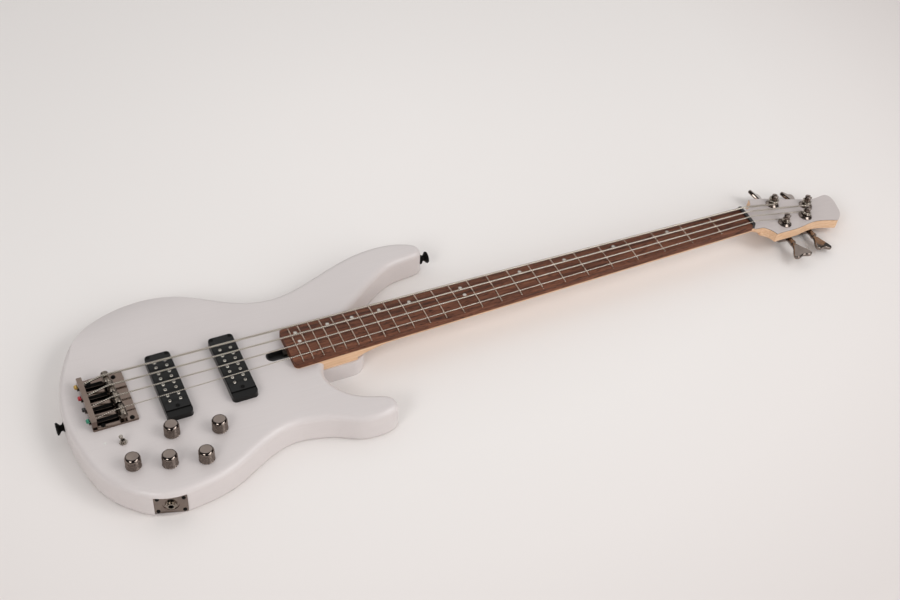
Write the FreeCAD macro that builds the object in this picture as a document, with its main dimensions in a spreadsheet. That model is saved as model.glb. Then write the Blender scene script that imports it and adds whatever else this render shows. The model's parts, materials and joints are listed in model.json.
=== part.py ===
"""A four-string electric bass guitar, lying on its back.

x runs from the bridge towards the headstock, y towards the low string and z out of the top.
x is zero where the scale starts at the bridge, y on the centre line, z on the flat back of the body.
"""
import FreeCAD, Part
import math
import os
from types import SimpleNamespace

Vector = FreeCAD.Vector
Placement = FreeCAD.Placement
Rotation = FreeCAD.Rotation
UP = Vector(0, 0, 1)
ALONG = Vector(1, 0, 0)
ACROSS = Vector(0, 1, 0)

# Driving dimensions in millimetres, angles in degrees.
SIZES = {
    # body
    "body_length": 506,
    "body_half_width": 160,
    "body_thickness": 40,
    "tail_reach": 73,
    "top_edge_radius": 8,
    "back_edge_radius": 5,
    "contour_radius": 190,
    "contour_reach": 66,
    "tongue_width": 65,
    "tongue_end": 299,
    "tongue_corner": 20,
    "scoop_radius": 16,
    "treble_scoop_start": 240,
    "bass_scoop_start": 290,
    "fit_gap": 0.2,
    "running_gap": 0.05,
    "clear_gap": 0.3,
    "overrun": 60,
    # neck
    "scale_length": 864,
    "fret_count": 24,
    "nut_width": 38,
    "heel_width": 63,
    "neck_end": 204.6,
    "neck_rise": 3.6,
    "neck_corner": 6,
    "pocket_depth": 15.5,
    "neck_depth": 14.2,
    "neck_depth_heel": 16.5,
    "heel_foot": 286,
    "heel_toe": 326,
    "headstock_tilt": 8,
    "headstock_setback": 4,
    "headstock_drop": 0.1,
    "headstock_length": 156,
    "headstock_half_width": 39,
    "headstock_thickness": 14,
    "veneer_thickness": 0.8,
    # fingerboard
    "board_thickness": 6.6,
    "board_radius": 254,
    "fret_width": 2.4,
    "fret_height": 1.1,
    "fret_inset": 1.6,
    "dot_radius": 2.3,
    "dot_depth": 2,
    "nut_thickness": 4.5,
    "nut_height": 8,
    # truss rod
    "rod_radius": 2.9,
    "rod_depth": 5,
    "rod_end": 855,
    "rod_nut_radius": 4.4,
    "rod_nut_length": 5,
    "well_start": 178,
    "well_width": 17,
    "well_depth": 8,
    "well_wall": 1.5,
    "well_rim": 0.5,
    # neck bolts
    "bolt_radius": 2.4,
    "bolt_length": 36,
    "bolt_recess": 0.7,
    "bolt_head_radius": 4.4,
    "bolt_head_height": 2.6,
    "ferrule_radius": 8,
    "ferrule_height": 4,
    "bolt_first": 224,
    "bolt_second": 272,
    "bolt_half_spread": 17,
    # strings
    "string_spacing": 19,
    "nut_spacing": 9.8,
    "string_e_radius": 1.27,
    "string_a_radius": 1.02,
    "string_d_radius": 0.83,
    "string_g_radius": 0.57,
    "nut_lift": 0.7,
    "saddle_lift": 6.8,
    "string_bend": 20,
    "wrap_gap": 0.6,
    "wrap_start": 3.3,
    "ball_radius": 2.4,
    "ball_length": 4.6,
    # bridge
    "plate_front": 9,
    "plate_back": 45.5,
    "plate_bass_reach": 42,
    "plate_treble_reach": 38.6,
    "plate_thickness": 3.2,
    "wall_thickness": 6.6,
    "wall_height": 14.5,
    "wall_bass_reach": 38.4,
    "wall_treble_reach": 36.6,
    "flange_height": 1.2,
    "string_hole_height": 10.1,
    "setscrew_height": 5.4,
    "setscrew_radius": 1.2,
    "setscrew_head_radius": 2.1,
    "setscrew_head_length": 2,
    "saddle_radius": 4.7,
    "saddle_width": 17.6,
    "saddle_bevel": 0.7,
    "lug_length": 7.6,
    "lug_width": 6,
    "saddle_lift_gap": 0.4,
    "saddle_bend_back": 5,
    "setscrew_end": 5,
    "grub_radius": 1.3,
    "grub_spread": 12.4,
    "grub_socket_radius": 0.7,
    "grub_socket_depth": 1.4,
    "wood_screw_radius": 1.6,
    "wood_screw_length": 18,
    "wood_screw_head_radius": 3,
    "wood_screw_head_height": 1.6,
    # pickups
    "pickup_length": 104,
    "pickup_width": 31.5,
    "pickup_height": 22,
    "pickup_depth": 12,
    "pickup_corner": 5,
    "pickup_edge": 1.6,
    "pickup_wall": 3,
    "pickup_shift": 4,
    "pickup_ledge": 9,
    "pickup_ledge_drop": 2.2,
    "bridge_pickup_place": 54.6,
    "neck_pickup_place": 134.2,
    "pole_radius": 1.9,
    "pole_proud": 0.4,
    "pole_pair": 8.4,
    "pole_columns": 13.2,
    "coil_width": 11,
    "coil_length": 78,
    "coil_height": 12,
    "coil_slot": 4.6,
    "pickup_screw_radius": 1.4,
    "pickup_screw_length": 26,
    "pickup_screw_head": 2.6,
    "pickup_screw_inset": 4.2,
    # controls
    "cavity_depth": 32,
    "cavity_corner": 12,
    "cover_lip": 6,
    "cover_thickness": 2.2,
    "cover_screw_radius": 1.3,
    "cover_screw_length": 9,
    "knob_radius": 9.5,
    "knob_height": 17,
    "knob_shoulder": 2,
    "knob_wall": 1.8,
    "knob_skirt": 5,
    "knob_lift": 0.6,
    "knob_index_depth": 0.6,
    "knob_index_radius": 0.9,
    "shaft_radius": 3,
    "shaft_seat": 9,
    "pot_radius": 8.2,
    "pot_height": 9,
    "pot_bush_radius": 4,
    "pot_bush_height": 11,
    "pot_nut_radius": 5.8,
    "pot_nut_height": 2,
    "toggle_bush_radius": 3,
    "toggle_bush_proud": 5,
    "toggle_nut_radius": 4.8,
    "toggle_nut_height": 2,
    "toggle_case_width": 8,
    "toggle_case_length": 13,
    "toggle_case_depth": 10,
    "toggle_lever_radius": 1.1,
    "toggle_tip_radius": 1.5,
    "toggle_mouth_radius": 2.3,
    "toggle_length": 10,
    "toggle_ball_radius": 1.8,
    "toggle_lean": 12,
    "led_radius": 2,
    "led_length": 10,
    # jack
    "jack_plate_length": 38,
    "jack_plate_height": 29,
    "jack_plate_thickness": 1.6,
    "jack_plate_corner": 3,
    "jack_inset": 5.6,
    "jack_level": 18.5,
    "jack_angle": 16,
    "jack_bush_radius": 4.7,
    "jack_bush_proud": 3.4,
    "jack_nut_radius": 7,
    "jack_nut_height": 2.2,
    "jack_dish_radius": 9.6,
    "jack_dish_depth": 0.9,
    "jack_barrel_radius": 9,
    "jack_barrel_length": 26,
    "jack_contact_room": 0.8,
    "plug_radius": 3.2,
    "jack_screw_inset": 4,
    # electronics
    "circuit_length": 44,
    "circuit_width": 26,
    "circuit_thickness": 1.6,
    "circuit_lift": 12,
    "chip_height": 4,
    "circuit_post_radius": 2,
    "battery_length": 48.5,
    "battery_width": 26.2,
    "battery_depth": 16.6,
    "battery_box_wall": 1.6,
    "battery_lid_thickness": 2.4,
    "battery_rim": 4,
    "lid_pin_radius": 0.8,
    "lid_pin_length": 1.6,
    # strap buttons
    "strap_base_radius": 7,
    "strap_waist_radius": 4,
    "strap_head_radius": 8,
    "strap_length": 11.5,
    "strap_flange": 1.6,
    "strap_screw_radius": 2,
    "strap_screw_length": 26,
    "strap_screw_head": 3.6,
    "strap_level": 19,
    "strap_seat_depth": 2.2,
    # tuning machines
    "bushing_radius": 9.6,
    "bushing_height": 3,
    "bushing_lip_radius": 6.6,
    "sleeve_radius": 6.4,
    "post_radius": 4,
    "post_journal_radius": 4.8,
    "post_head_radius": 4.7,
    "post_height": 15,
    "post_head_height": 3.4,
    "wheel_radius": 4.7,
    "wheel_height": 4.6,
    "post_stem_radius": 3.4,
    "post_slot": 2.4,
    "post_slot_depth": 4.4,
    "key_offset": 7.2,
    "key_level": 6,
    "worm_radius": 2.2,
    "housing_length": 23,
    "housing_width": 20,
    "housing_height": 11,
    "housing_corner": 4,
    "housing_back": 9.5,
    "housing_wall": 1.4,
    "key_sleeve_radius": 4,
    "key_sleeve_end": 20,
    "key_ring_radius": 4.4,
    "key_ring_end": 22.4,
    "key_neck_radius": 2.6,
    "button_start": 25,
    "button_length": 25,
    "button_half_width": 13.5,
    "button_root_half_width": 4,
    "button_thickness": 5,
}

# Body outline, from the tail round the low-string side: shares of the length and of the half width.
BODY_SHARES = (
    (0.000, 0.006), (0.005, 0.168), (0.019, 0.355), (0.044, 0.553), (0.082, 0.744), (0.149, 0.909),
    (0.214, 0.986), (0.269, 1.000), (0.323, 0.966), (0.370, 0.908), (0.416, 0.825), (0.459, 0.738),
    (0.501, 0.668), (0.546, 0.626), (0.583, 0.619), (0.623, 0.638), (0.682, 0.700), (0.748, 0.781),
    (0.810, 0.845), (0.871, 0.875), (0.929, 0.866), (0.971, 0.823), (0.995, 0.755), (0.993, 0.682),
    (0.965, 0.648), (0.905, 0.622), (0.837, 0.509), (0.773, 0.356), (0.725, 0.230), (0.678, 0.090),
    (0.635, -0.125), (0.611, -0.262), (0.611, -0.375), (0.630, -0.500), (0.662, -0.594), (0.700, -0.650),
    (0.733, -0.713), (0.735, -0.806), (0.714, -0.849), (0.684, -0.863), (0.634, -0.838), (0.592, -0.766),
    (0.548, -0.719), (0.502, -0.694), (0.446, -0.725), (0.386, -0.816), (0.330, -0.913), (0.277, -0.969),
    (0.227, -0.994), (0.181, -1.000), (0.136, -0.963), (0.081, -0.831), (0.036, -0.631), (0.014, -0.406),
    (0.003, -0.188),
)
BODY_SPANS = 12
# Line where the forearm contour leaves the flat top: shares of the length and of the half width.
CONTOUR_SHARES = ((-0.030, 0.560), (0.300, 0.755))
# Headstock sides from the nut out: shares of its length and of its half width.
HEAD_BASS_FLARE_SHARES = ((0.090, 0.520), (0.130, 0.620), (0.182, 1.000))
HEAD_BASS_SHARES = ((0.182, 1.000), (0.392, 0.867), (0.517, 0.738), (0.726, 0.562), (0.804, 0.518),
                    (0.870, 0.560), (0.945, 0.620))
HEAD_TIP_SHARES = ((0.945, 0.620), (0.985, 0.570), (1.000, 0.400), (0.981, -0.070), (0.960, -0.346),
                   (0.925, -0.562), (0.864, -0.769))
HEAD_TREBLE_SHARES = ((0.864, -0.769), (0.744, -0.664), (0.656, -0.633), (0.556, -0.690), (0.444, -0.808),
                      (0.294, -0.885), (0.170, -0.950))
HEAD_TREBLE_FLARE_SHARES = ((0.170, -0.950), (0.130, -0.640), (0.090, -0.520))
# Roundness of the neck's back from heel to nut: places between foot and toe, depths and powers as shares.
HEEL_SECTION_SHARES = ((0.0, 0.0, 9.0), (0.45, 0.55, 3.6), (1.0, 1.0, 2.3))
NECK_POWER_SHARE = 2.2
ROOT_POWER_SHARE = 6.0
# Where the square part of the headstock starts, as a share of its narrow root.
ROOT_OVERLAP_SHARE = 0.90
# Position dots: fret numbers, and offsets from the centre line as shares of the half width there.
DOT_FRETS = (3, 5, 7, 9, 12, 15, 17, 19, 21, 24)
DOUBLE_DOT_FRETS = (12, 24)
DOT_SHARE = 0.60
SECOND_DOT_SHARE = 0.08
# Strings from low to high: places across, and saddle crests along, as shares of the spacing.
STRING_NAMES = ("e", "a", "d", "g")
STRING_SHARES = {"e": 1.5, "a": 0.5, "d": -0.5, "g": -1.5}
SADDLE_SHARES = {"e": -0.62, "a": -0.53, "d": -0.46, "g": -0.39}
# Screws of the bridge plate: shares of its length from the back, and of its reach to either side.
PLATE_SCREW_SHARES = ((0.790, 0.832), (0.866, -0.907), (0.237, 0.850), (0.237, -0.890))
WRAP_TURNS = {"e": 1.75, "a": 1.75, "d": 2.25, "g": 2.75}
# Tuning posts: shares of the headstock's length and half width, and the turn of each key at rest in degrees.
POST_SHARES = {"e": (0.369, 0.574), "a": (0.682, 0.256), "d": (0.585, -0.292), "g": (0.326, -0.487)}
KEY_TURNS = {"e": 33, "a": 23, "d": 9, "g": -7}
# Controls on the top: shares of the body's length, from the bridge line, and of its half width.
KNOB_SHARES = {
    "volume": (0.181, -0.545), "balance": (0.075, -0.460), "treble": (0.126, -0.781),
    "mid": (0.046, -0.725), "bass": (-0.032, -0.650),
}
TOGGLE_SHARES = (-0.035, -0.412)
LED_SHARES = (-0.074, -0.373)
CAVITY_SHARES = (
    (-0.092, -0.322), (0.052, -0.352), (0.075, -0.385), (0.215, -0.440), (0.226, -0.610), (0.168, -0.885),
    (0.015, -0.838), (-0.076, -0.715),
)
COVER_SCREW_SIDES = (0, 2, 4, 5, 7)
BATTERY_SHARES = (-0.012, 0.440)
BOARD_SHARES = (0.105, -0.610)
JACK_SHARE = 0.021
STRAP_TAIL_SHARE = 0.006
STRAP_HORN_SHARE = 0.720
# Half outline of a key's winged button, from its root: shares of its length and of its half width,
# and the place of the notch between the two wings.
BUTTON_SHARES = ((0.24, 0.44), (0.50, 0.74), (0.74, 0.96), (0.90, 1.00), (0.99, 0.82), (0.985, 0.45))
BUTTON_NOTCH_SHARE = 0.91

doc = FreeCAD.newDocument("bass_guitar")
sheet = doc.addObject("Spreadsheet::Sheet", "Sizes")
for row, (alias, number) in enumerate(SIZES.items(), start=1):
    sheet.set("A%d" % row, alias)
    sheet.set("B%d" % row, str(number))
    sheet.setAlias("B%d" % row, alias)
doc.recompute()
S = SimpleNamespace(**{alias: float(getattr(sheet, alias)) for alias in SIZES})
NODES = []


# Shared helpers

def node(item, label):
    """Give a sub-part the name of its file and keep it for export."""
    item.Label = label
    NODES.append(item)
    return item


def bind(item, **formulas):
    """Bind properties of an object to cells of the sheet."""
    for name, formula in formulas.items():
        item.setExpression(name.replace("__", "."), formula)
    return item


def new_body(name):
    """Start an empty solid body."""
    return doc.addObject("PartDesign::Body", name)


def sketch(body, geometry, role="XY_Plane", base=Vector(), rotation=Rotation()):
    """Draw geometry on an origin plane of the body, moved by base and rotation in the plane's own axes."""
    drawing = body.newObject("Sketcher::SketchObject", "Sketch")
    plane = next(item for item in body.Origin.OriginFeatures if item.Role == role)
    drawing.AttachmentSupport = [(plane, "")]
    drawing.MapMode = "FlatFace"
    drawing.AttachmentOffset = Placement(base, rotation)
    drawing.addGeometry(geometry, False)
    return drawing


def pad(body, drawing, formula, down=False):
    """Raise a drawing to a length from the sheet."""
    feature = body.newObject("PartDesign::Pad", "Pad")
    feature.Profile = drawing
    feature.Reversed = down
    bind(feature, Length=formula)
    doc.recompute()
    return feature


def pocket(body, drawing, formula, up=False):
    """Cut a drawing into the body, and make sure that it met the solid."""
    before = body.Shape.Volume
    feature = body.newObject("PartDesign::Pocket", "Pocket")
    feature.Profile = drawing
    feature.Reversed = up
    bind(feature, Length=formula)
    doc.recompute()
    if not feature.Shape.Volume < before:
        raise RuntimeError("a pocket of %s cuts nothing" % body.Label)
    return feature


def turned(body, points):
    """Turn a closed profile of (radius, height) points about the body's z axis."""
    drawing = sketch(body, polygon([Vector(radius, height, 0) for radius, height in points]), "XZ_Plane")
    feature = body.newObject("PartDesign::Revolution", "Revolution")
    feature.Profile = drawing
    feature.ReferenceAxis = (drawing, ["V_Axis"])
    doc.recompute()
    return feature


def polygon(points):
    """Closed run of straight lines."""
    return [Part.LineSegment(a, b) for a, b in zip(points, points[1:] + points[:1])]


def rounded(points, radii):
    """Closed run of lines whose corners are tangent arcs; a radius of zero keeps a corner sharp."""
    starts, ends, arcs = [], [], []
    count = len(points)
    for index, corner in enumerate(points):
        radius = radii[index]
        back = (points[index - 1] - corner).normalize()
        ahead = (points[(index + 1) % count] - corner).normalize()
        half = back.getAngle(ahead) / 2
        if radius == 0:
            starts.append(corner)
            ends.append(corner)
            arcs.append(None)
            continue
        reach = radius / math.tan(half)
        middle = (back + ahead).normalize()
        nearest = corner + middle * (radius / math.sin(half) - radius)
        starts.append(corner + back * reach)
        ends.append(corner + ahead * reach)
        arcs.append(Part.Arc(starts[-1], nearest, ends[-1]))
    edges = []
    for index in range(count):
        if arcs[index]:
            edges.append(arcs[index])
        edges.append(Part.LineSegment(ends[index], starts[(index + 1) % count]))
    return edges


def box_outline(x_low, x_high, y_low, y_high, radius):
    """Rectangle with equal rounded corners."""
    corners = [Vector(x_low, y_low, 0), Vector(x_high, y_low, 0),
               Vector(x_high, y_high, 0), Vector(x_low, y_high, 0)]
    return rounded(corners, [radius] * len(corners))


def spline(points):
    """Smooth open curve through points."""
    curve = Part.BSplineCurve()
    curve.interpolate(points)
    return curve


def closed_spline(points, spans):
    """Smooth closed curve through points, cut into spans."""
    curve = Part.BSplineCurve()
    curve.interpolate(Points=points, PeriodicFlag=True)
    first, last = curve.FirstParameter, curve.LastParameter
    marks = [first + (last - first) * index / spans for index in range(spans + 1)]
    pieces = []
    for start, stop in zip(marks, marks[1:]):
        piece = curve.copy()
        piece.segment(start, stop)
        pieces.append(piece)
    return pieces


def circle(x, y, radius):
    """Full circle in a drawing's own plane."""
    return Part.Circle(Vector(x, y, 0), UP, radius)


def cylinder(name, radius, length, base=Vector(), axis=UP):
    """Round bar whose radius and length come from cells of the sheet."""
    bar = doc.addObject("Part::Cylinder", name)
    bind(bar, Radius=radius, Height=length)
    bar.Placement = Placement(base, Rotation(UP, axis))
    return bar


def block(name, length, width, height, base=Vector(), rotation=Rotation()):
    """Plain block whose sides come from cells of the sheet."""
    item = doc.addObject("Part::Box", name)
    bind(item, Length=length, Width=width, Height=height)
    item.Placement = Placement(base, rotation)
    return item


def join(name, items):
    """Fuse objects into one solid."""
    item = doc.addObject("Part::MultiFuse", name)
    item.Shapes = items
    doc.recompute()
    return item


def cut(name, base, tools):
    """Cut tools out of a base, and make sure that each met it."""
    doc.recompute()
    item = base
    for tool in tools:
        step = doc.addObject("Part::Cut", name + "_cut")
        step.Base = item
        step.Tool = tool
        doc.recompute()
        if not step.Shape.Volume < item.Shape.Volume:
            raise RuntimeError("a cut of %s by %s removes nothing" % (name, tool.Name))
        item = step
    return item


def copies(name, source, places):
    """Group of separate solids, each a copy of the source at its place."""
    doc.recompute()
    group = doc.addObject("Part::Feature", name)
    solids = []
    for place in places:
        shape = source.Shape.copy()
        shape.Placement = place.multiply(shape.Placement)
        solids.extend(shape.Solids)
    group.Shape = Part.makeCompound(solids)
    return group


def gather(name, items):
    """Group of separate objects in one node."""
    group = doc.addObject("Part::Compound", name)
    group.Links = items
    doc.recompute()
    return group


def at(x=0.0, y=0.0, z=0.0, rotation=Rotation()):
    """Placement from coordinates."""
    return Placement(Vector(x, y, z), rotation)


# Places that several pieces share

TOP = S.body_thickness
NECK_TOP = TOP + S.neck_rise
BOARD_TOP = NECK_TOP + S.board_thickness
POCKET_FLOOR = TOP - S.pocket_depth
LAST_FRET = S.scale_length * 2 ** (-S.fret_count / 12)
HEAD_START = S.scale_length + S.headstock_setback
HEAD_TILT = Rotation(ACROSS, S.headstock_tilt)
HEAD_FRAME = Placement(Vector(HEAD_START, 0, NECK_TOP - S.headstock_drop), HEAD_TILT)


def on_body(shares):
    """Place on the body from shares of its length, from the bridge line, and of its half width."""
    return Vector(shares[0] * S.body_length, shares[1] * S.body_half_width, 0)


def on_head(shares):
    """Place on the headstock's face from shares of its length and half width."""
    return Vector(shares[0] * S.headstock_length, shares[1] * S.headstock_half_width, 0)


def neck_half_width(x):
    """Half the neck's width at a distance from the bridge line, on its straight taper."""
    taper = (S.scale_length - x) / (S.scale_length - LAST_FRET)
    return (S.nut_width + (S.heel_width - S.nut_width) * taper) / 2


def fret_place(number):
    """Distance of a fret from the bridge line."""
    return S.scale_length * 2 ** (-number / 12)


def crown_drop(y):
    """How far the curved fingerboard lies below its middle at a distance from the centre line."""
    return S.board_radius - math.sqrt(S.board_radius ** 2 - y ** 2)


def string_radius(name):
    """Radius of a string by its name."""
    return getattr(S, "string_%s_radius" % name)


def bridge_point(name):
    """Centre of a string over its saddle's crest."""
    y = STRING_SHARES[name] * S.string_spacing
    x = SADDLE_SHARES[name] * S.string_spacing
    rise = S.fret_height + S.saddle_lift - crown_drop(y)
    return Vector(x, y, BOARD_TOP + rise + string_radius(name))


def nut_point(name):
    """Centre of a string in its nut slot."""
    y = STRING_SHARES[name] * S.nut_spacing
    rise = S.fret_height + S.nut_lift - crown_drop(y)
    return Vector(S.scale_length + S.nut_thickness / 2, y, BOARD_TOP + rise + string_radius(name))


def neck_outline(gap, far_x, radius):
    """Plan of the neck's end, or of its pocket with a gap, as far as far_x."""
    near_x = S.neck_end - gap
    near, far = neck_half_width(S.neck_end) + gap, neck_half_width(far_x) + gap
    corners = [Vector(near_x, near, 0), Vector(near_x, -near, 0),
               Vector(far_x, -far, 0), Vector(far_x, far, 0)]
    return rounded(corners, [radius, radius, 0, 0])


PICKUP_Y_LOW = -S.pickup_length / 2 - S.pickup_shift
PICKUP_Y_HIGH = S.pickup_length / 2 - S.pickup_shift
PICKUP_PLACES = {"bridge": S.bridge_pickup_place, "neck": S.neck_pickup_place}
BATTERY = on_body(BATTERY_SHARES)
BOX_LENGTH = 2 * S.battery_width + 2 * S.battery_box_wall + 2 * S.fit_gap
BOX_WIDTH = S.battery_length + 2 * S.battery_box_wall + 2 * S.fit_gap
BOX_DEPTH = S.battery_lid_thickness + S.battery_depth + S.battery_box_wall + 2 * S.fit_gap
JACK_DIRECTION = Rotation(UP, -S.jack_angle).multVec(-ACROSS)
JACK_PLACE = Vector(JACK_SHARE * S.body_length, S.jack_inset - S.body_half_width, S.jack_level)
JACK_TURN = Rotation(-JACK_DIRECTION.cross(UP), UP, JACK_DIRECTION, "ZXY")
STRAP_TAIL = Vector(S.strap_seat_depth - S.tail_reach, STRAP_TAIL_SHARE * S.body_half_width, S.strap_level)
STRAP_HORN = Vector(S.body_length - S.tail_reach - S.strap_seat_depth,
                    STRAP_HORN_SHARE * S.body_half_width, S.strap_level)
BOLT_PLACES = [Vector(x, side * S.bolt_half_spread, 0)
               for x in (S.bolt_first, S.bolt_second) for side in (1, -1)]
PLATE_SCREWS = [Vector((S.plate_front + S.plate_back) * along - S.plate_back,
                       across * (S.plate_bass_reach if across > 0 else S.plate_treble_reach), TOP)
                for along, across in PLATE_SCREW_SHARES]


# Woodwork

def make_body():
    """Solid body: splined outline, rounded edges, forearm contour, pockets and cavities."""
    body = new_body("body_solid")
    outline = [Vector(share_x * S.body_length - S.tail_reach, share_y * S.body_half_width, 0)
               for share_x, share_y in BODY_SHARES]
    slab = pad(body, sketch(body, closed_spline(outline, BODY_SPANS)), "Sizes.body_thickness")
    for height, cell in ((S.body_thickness, "Sizes.top_edge_radius"), (0, "Sizes.back_edge_radius")):
        rim = ["Edge%d" % (index + 1) for index, edge in enumerate(body.Shape.Edges)
               if edge.BoundBox.ZMin == edge.BoundBox.ZMax or
               max(abs(edge.BoundBox.ZMin - height), abs(edge.BoundBox.ZMax - height)) < S.running_gap]
        rim = [name for name in rim
               if abs(body.Shape.getElement(name).CenterOfMass.z - height) < S.running_gap]
        rounding = body.newObject("PartDesign::Fillet", "Rounding")
        rounding.Base = (slab, rim)
        bind(rounding, Radius=cell)
        doc.recompute()
        slab = rounding
    start, stop = (on_body(shares) for shares in CONTOUR_SHARES)
    run = (stop - start).normalize()
    outward = UP.cross(run)
    frame = Rotation(outward, UP, run, "ZXY")
    drop = S.contour_radius - math.sqrt(S.contour_radius ** 2 - S.contour_reach ** 2)
    middle_drop = S.contour_radius - math.sqrt(S.contour_radius ** 2 - (S.contour_reach / 2) ** 2)
    far, high = S.contour_reach, S.top_edge_radius
    sweep = [Part.Arc(Vector(0, 0, 0), Vector(far / 2, -middle_drop, 0), Vector(far, -drop, 0)),
             Part.LineSegment(Vector(far, -drop, 0), Vector(far, high, 0)),
             Part.LineSegment(Vector(far, high, 0), Vector(0, high, 0)),
             Part.LineSegment(Vector(0, high, 0), Vector(0, 0, 0))]
    place = start - run * S.overrun + Vector(0, 0, TOP)
    pocket(body, sketch(body, sweep, "XY_Plane", place, frame), "Sizes.body_length", up=True)
    half = S.tongue_width / 2
    tongue = [Vector(S.bolt_first, half, 0), Vector(S.bolt_first, -half, 0),
              Vector(S.tongue_end, -half, 0), Vector(S.tongue_end, half, 0)]
    corner = S.tongue_corner
    pad(body, sketch(body, rounded(tongue, [0, 0, corner, corner])),
        "Sizes.body_thickness - Sizes.pocket_depth")
    far_x = S.tongue_end + S.overrun
    pocket(body, sketch(body, neck_outline(S.fit_gap, far_x, S.neck_corner), base=Vector(0, 0, TOP)),
           "Sizes.pocket_depth")
    for start_x, upward in ((S.treble_scoop_start, True), (S.bass_scoop_start, False)):
        pocket(body, sketch(body, scoop(start_x), "XZ_Plane"), "Sizes.tongue_width * 0.6", up=upward)
    for place in PICKUP_PLACES.values():
        rout = box_outline(place - S.pickup_width / 2 - S.fit_gap, place + S.pickup_width / 2 + S.fit_gap,
                           PICKUP_Y_LOW - S.fit_gap, PICKUP_Y_HIGH + S.fit_gap, S.pickup_corner)
        pocket(body, sketch(body, rout, base=Vector(0, 0, TOP)), "Sizes.pickup_depth")
    pocket(body, sketch(body, well_outline(S.fit_gap), base=Vector(0, 0, TOP)), "Sizes.well_depth")
    pocket(body, sketch(body, cavity_outline(0)), "Sizes.cavity_depth", up=True)
    pocket(body, sketch(body, cavity_outline(S.cover_lip + S.fit_gap)), "Sizes.cover_thickness", up=True)
    pocket(body, sketch(body, battery_outline(S.fit_gap, 0, S.battery_box_wall)), str(BOX_DEPTH), up=True)
    pocket(body, sketch(body, battery_outline(S.fit_gap, S.battery_rim, S.fit_gap)),
           "Sizes.battery_lid_thickness", up=True)
    round_holes(body)
    tools = [strap_cutter("strap_tail_seat", STRAP_TAIL, -ALONG),
             strap_cutter("strap_horn_seat", STRAP_HORN, ALONG),
             jack_seat_cutter(), lid_pin_holes()]
    finished = cut("body", body, tools)
    node(finished, "body")


def scoop(start_x):
    """Side view of a cutaway scoop: a hollow quarter round from the top down to the neck's seat."""
    radius = S.scoop_radius
    floor, high, far = POCKET_FLOOR, TOP + S.top_edge_radius, S.tongue_end + S.overrun
    centre = Vector(start_x + radius, floor + radius, 0)
    turn = radius * math.sqrt(2) / 2
    ramp = Part.Arc(centre + Vector(-radius, 0, 0), centre + Vector(-turn, -turn, 0),
                    centre + Vector(0, -radius, 0))
    corners = [Vector(start_x + radius, floor, 0), Vector(far, floor, 0), Vector(far, high, 0),
               Vector(start_x, high, 0), Vector(start_x, floor + radius, 0)]
    return [ramp] + [Part.LineSegment(a, b) for a, b in zip(corners, corners[1:])]


def well_outline(gap):
    """Plan of the truss rod well, round at the bridge end and square at the neck."""
    half = S.well_width / 2 + gap
    tip = S.well_start - gap
    end = S.neck_end + gap
    arc = Part.Arc(Vector(tip + half, half, 0), Vector(tip, 0, 0), Vector(tip + half, -half, 0))
    corners = [Vector(tip + half, -half, 0), Vector(end, -half, 0),
               Vector(end, half, 0), Vector(tip + half, half, 0)]
    return [arc] + [Part.LineSegment(a, b) for a, b in zip(corners, corners[1:])]


def cavity_outline(grow):
    """Plan of the control cavity, grown sideways for its cover's ledge."""
    points = [on_body(shares) for shares in CAVITY_SHARES]
    corners = []
    for before, here, after in zip(points[-1:] + points[:-1], points, points[1:] + points[:1]):
        first, second = side_normal(before, here), side_normal(here, after)
        corners.append(here + (first + second) * (grow / (1 + first.dot(second))))
    return rounded(corners, [0.0 if index in (1, 2) else S.cavity_corner for index in range(len(points))])


def side_normal(start, end):
    """Direction that points out of a side of the control cavity, which runs clockwise."""
    return UP.cross((end - start).normalize())


def battery_outline(gap, rim, corner):
    """Plan of the battery box, with its rim where the lid lies."""
    half_length, half_width = BOX_LENGTH / 2 + gap, BOX_WIDTH / 2 + gap
    return box_outline(BATTERY.x - half_length - rim, BATTERY.x + half_length + rim,
                       BATTERY.y - half_width, BATTERY.y + half_width, corner)


def round_holes(body):
    """Drill the body for bolts, controls and screws."""
    bolts = [circle(place.x, place.y, S.bolt_radius + S.fit_gap) for place in BOLT_PLACES]
    pocket(body, sketch(body, bolts), "Sizes.body_thickness", up=True)
    ferrules = [circle(place.x, place.y, S.ferrule_radius + S.running_gap) for place in BOLT_PLACES]
    pocket(body, sketch(body, ferrules), "Sizes.ferrule_height", up=True)
    knobs = [on_body(shares) for shares in KNOB_SHARES.values()]
    holes = [circle(place.x, place.y, S.pot_bush_radius + S.fit_gap) for place in knobs]
    toggle, led = on_body(TOGGLE_SHARES), on_body(LED_SHARES)
    holes.append(circle(toggle.x, toggle.y, S.toggle_bush_radius + S.fit_gap))
    holes.append(circle(led.x, led.y, S.led_radius + S.running_gap))
    pocket(body, sketch(body, holes, base=Vector(0, 0, TOP)), "Sizes.body_thickness - Sizes.cavity_depth")
    pilots = [circle(place.x, place.y, S.wood_screw_radius) for place in PLATE_SCREWS]
    pocket(body, sketch(body, pilots, base=Vector(0, 0, TOP)), "Sizes.wood_screw_length")
    pilots = [circle(place.x, place.y, S.pickup_screw_radius) for place in pickup_screw_places()]
    pocket(body, sketch(body, pilots, base=Vector(0, 0, TOP - S.pickup_depth)),
           "Sizes.pickup_screw_length - Sizes.pickup_height + Sizes.pickup_ledge_drop")
    pilots = [circle(place.x, place.y, S.cover_screw_radius) for place in cover_screw_places()]
    pocket(body, sketch(body, pilots), "Sizes.cover_screw_length", up=True)


def pickup_screw_places():
    """Two screws at the low-string end of each pickup and one at the other end."""
    places = []
    for place in PICKUP_PLACES.values():
        spread = S.pickup_width / 2 - S.pickup_screw_inset
        high = PICKUP_Y_HIGH - S.pickup_screw_inset
        low = PICKUP_Y_LOW + S.pickup_ledge + S.pickup_screw_inset
        places += [Vector(place - spread, high, 0), Vector(place + spread, high, 0), Vector(place, low, 0)]
    return places


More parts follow.
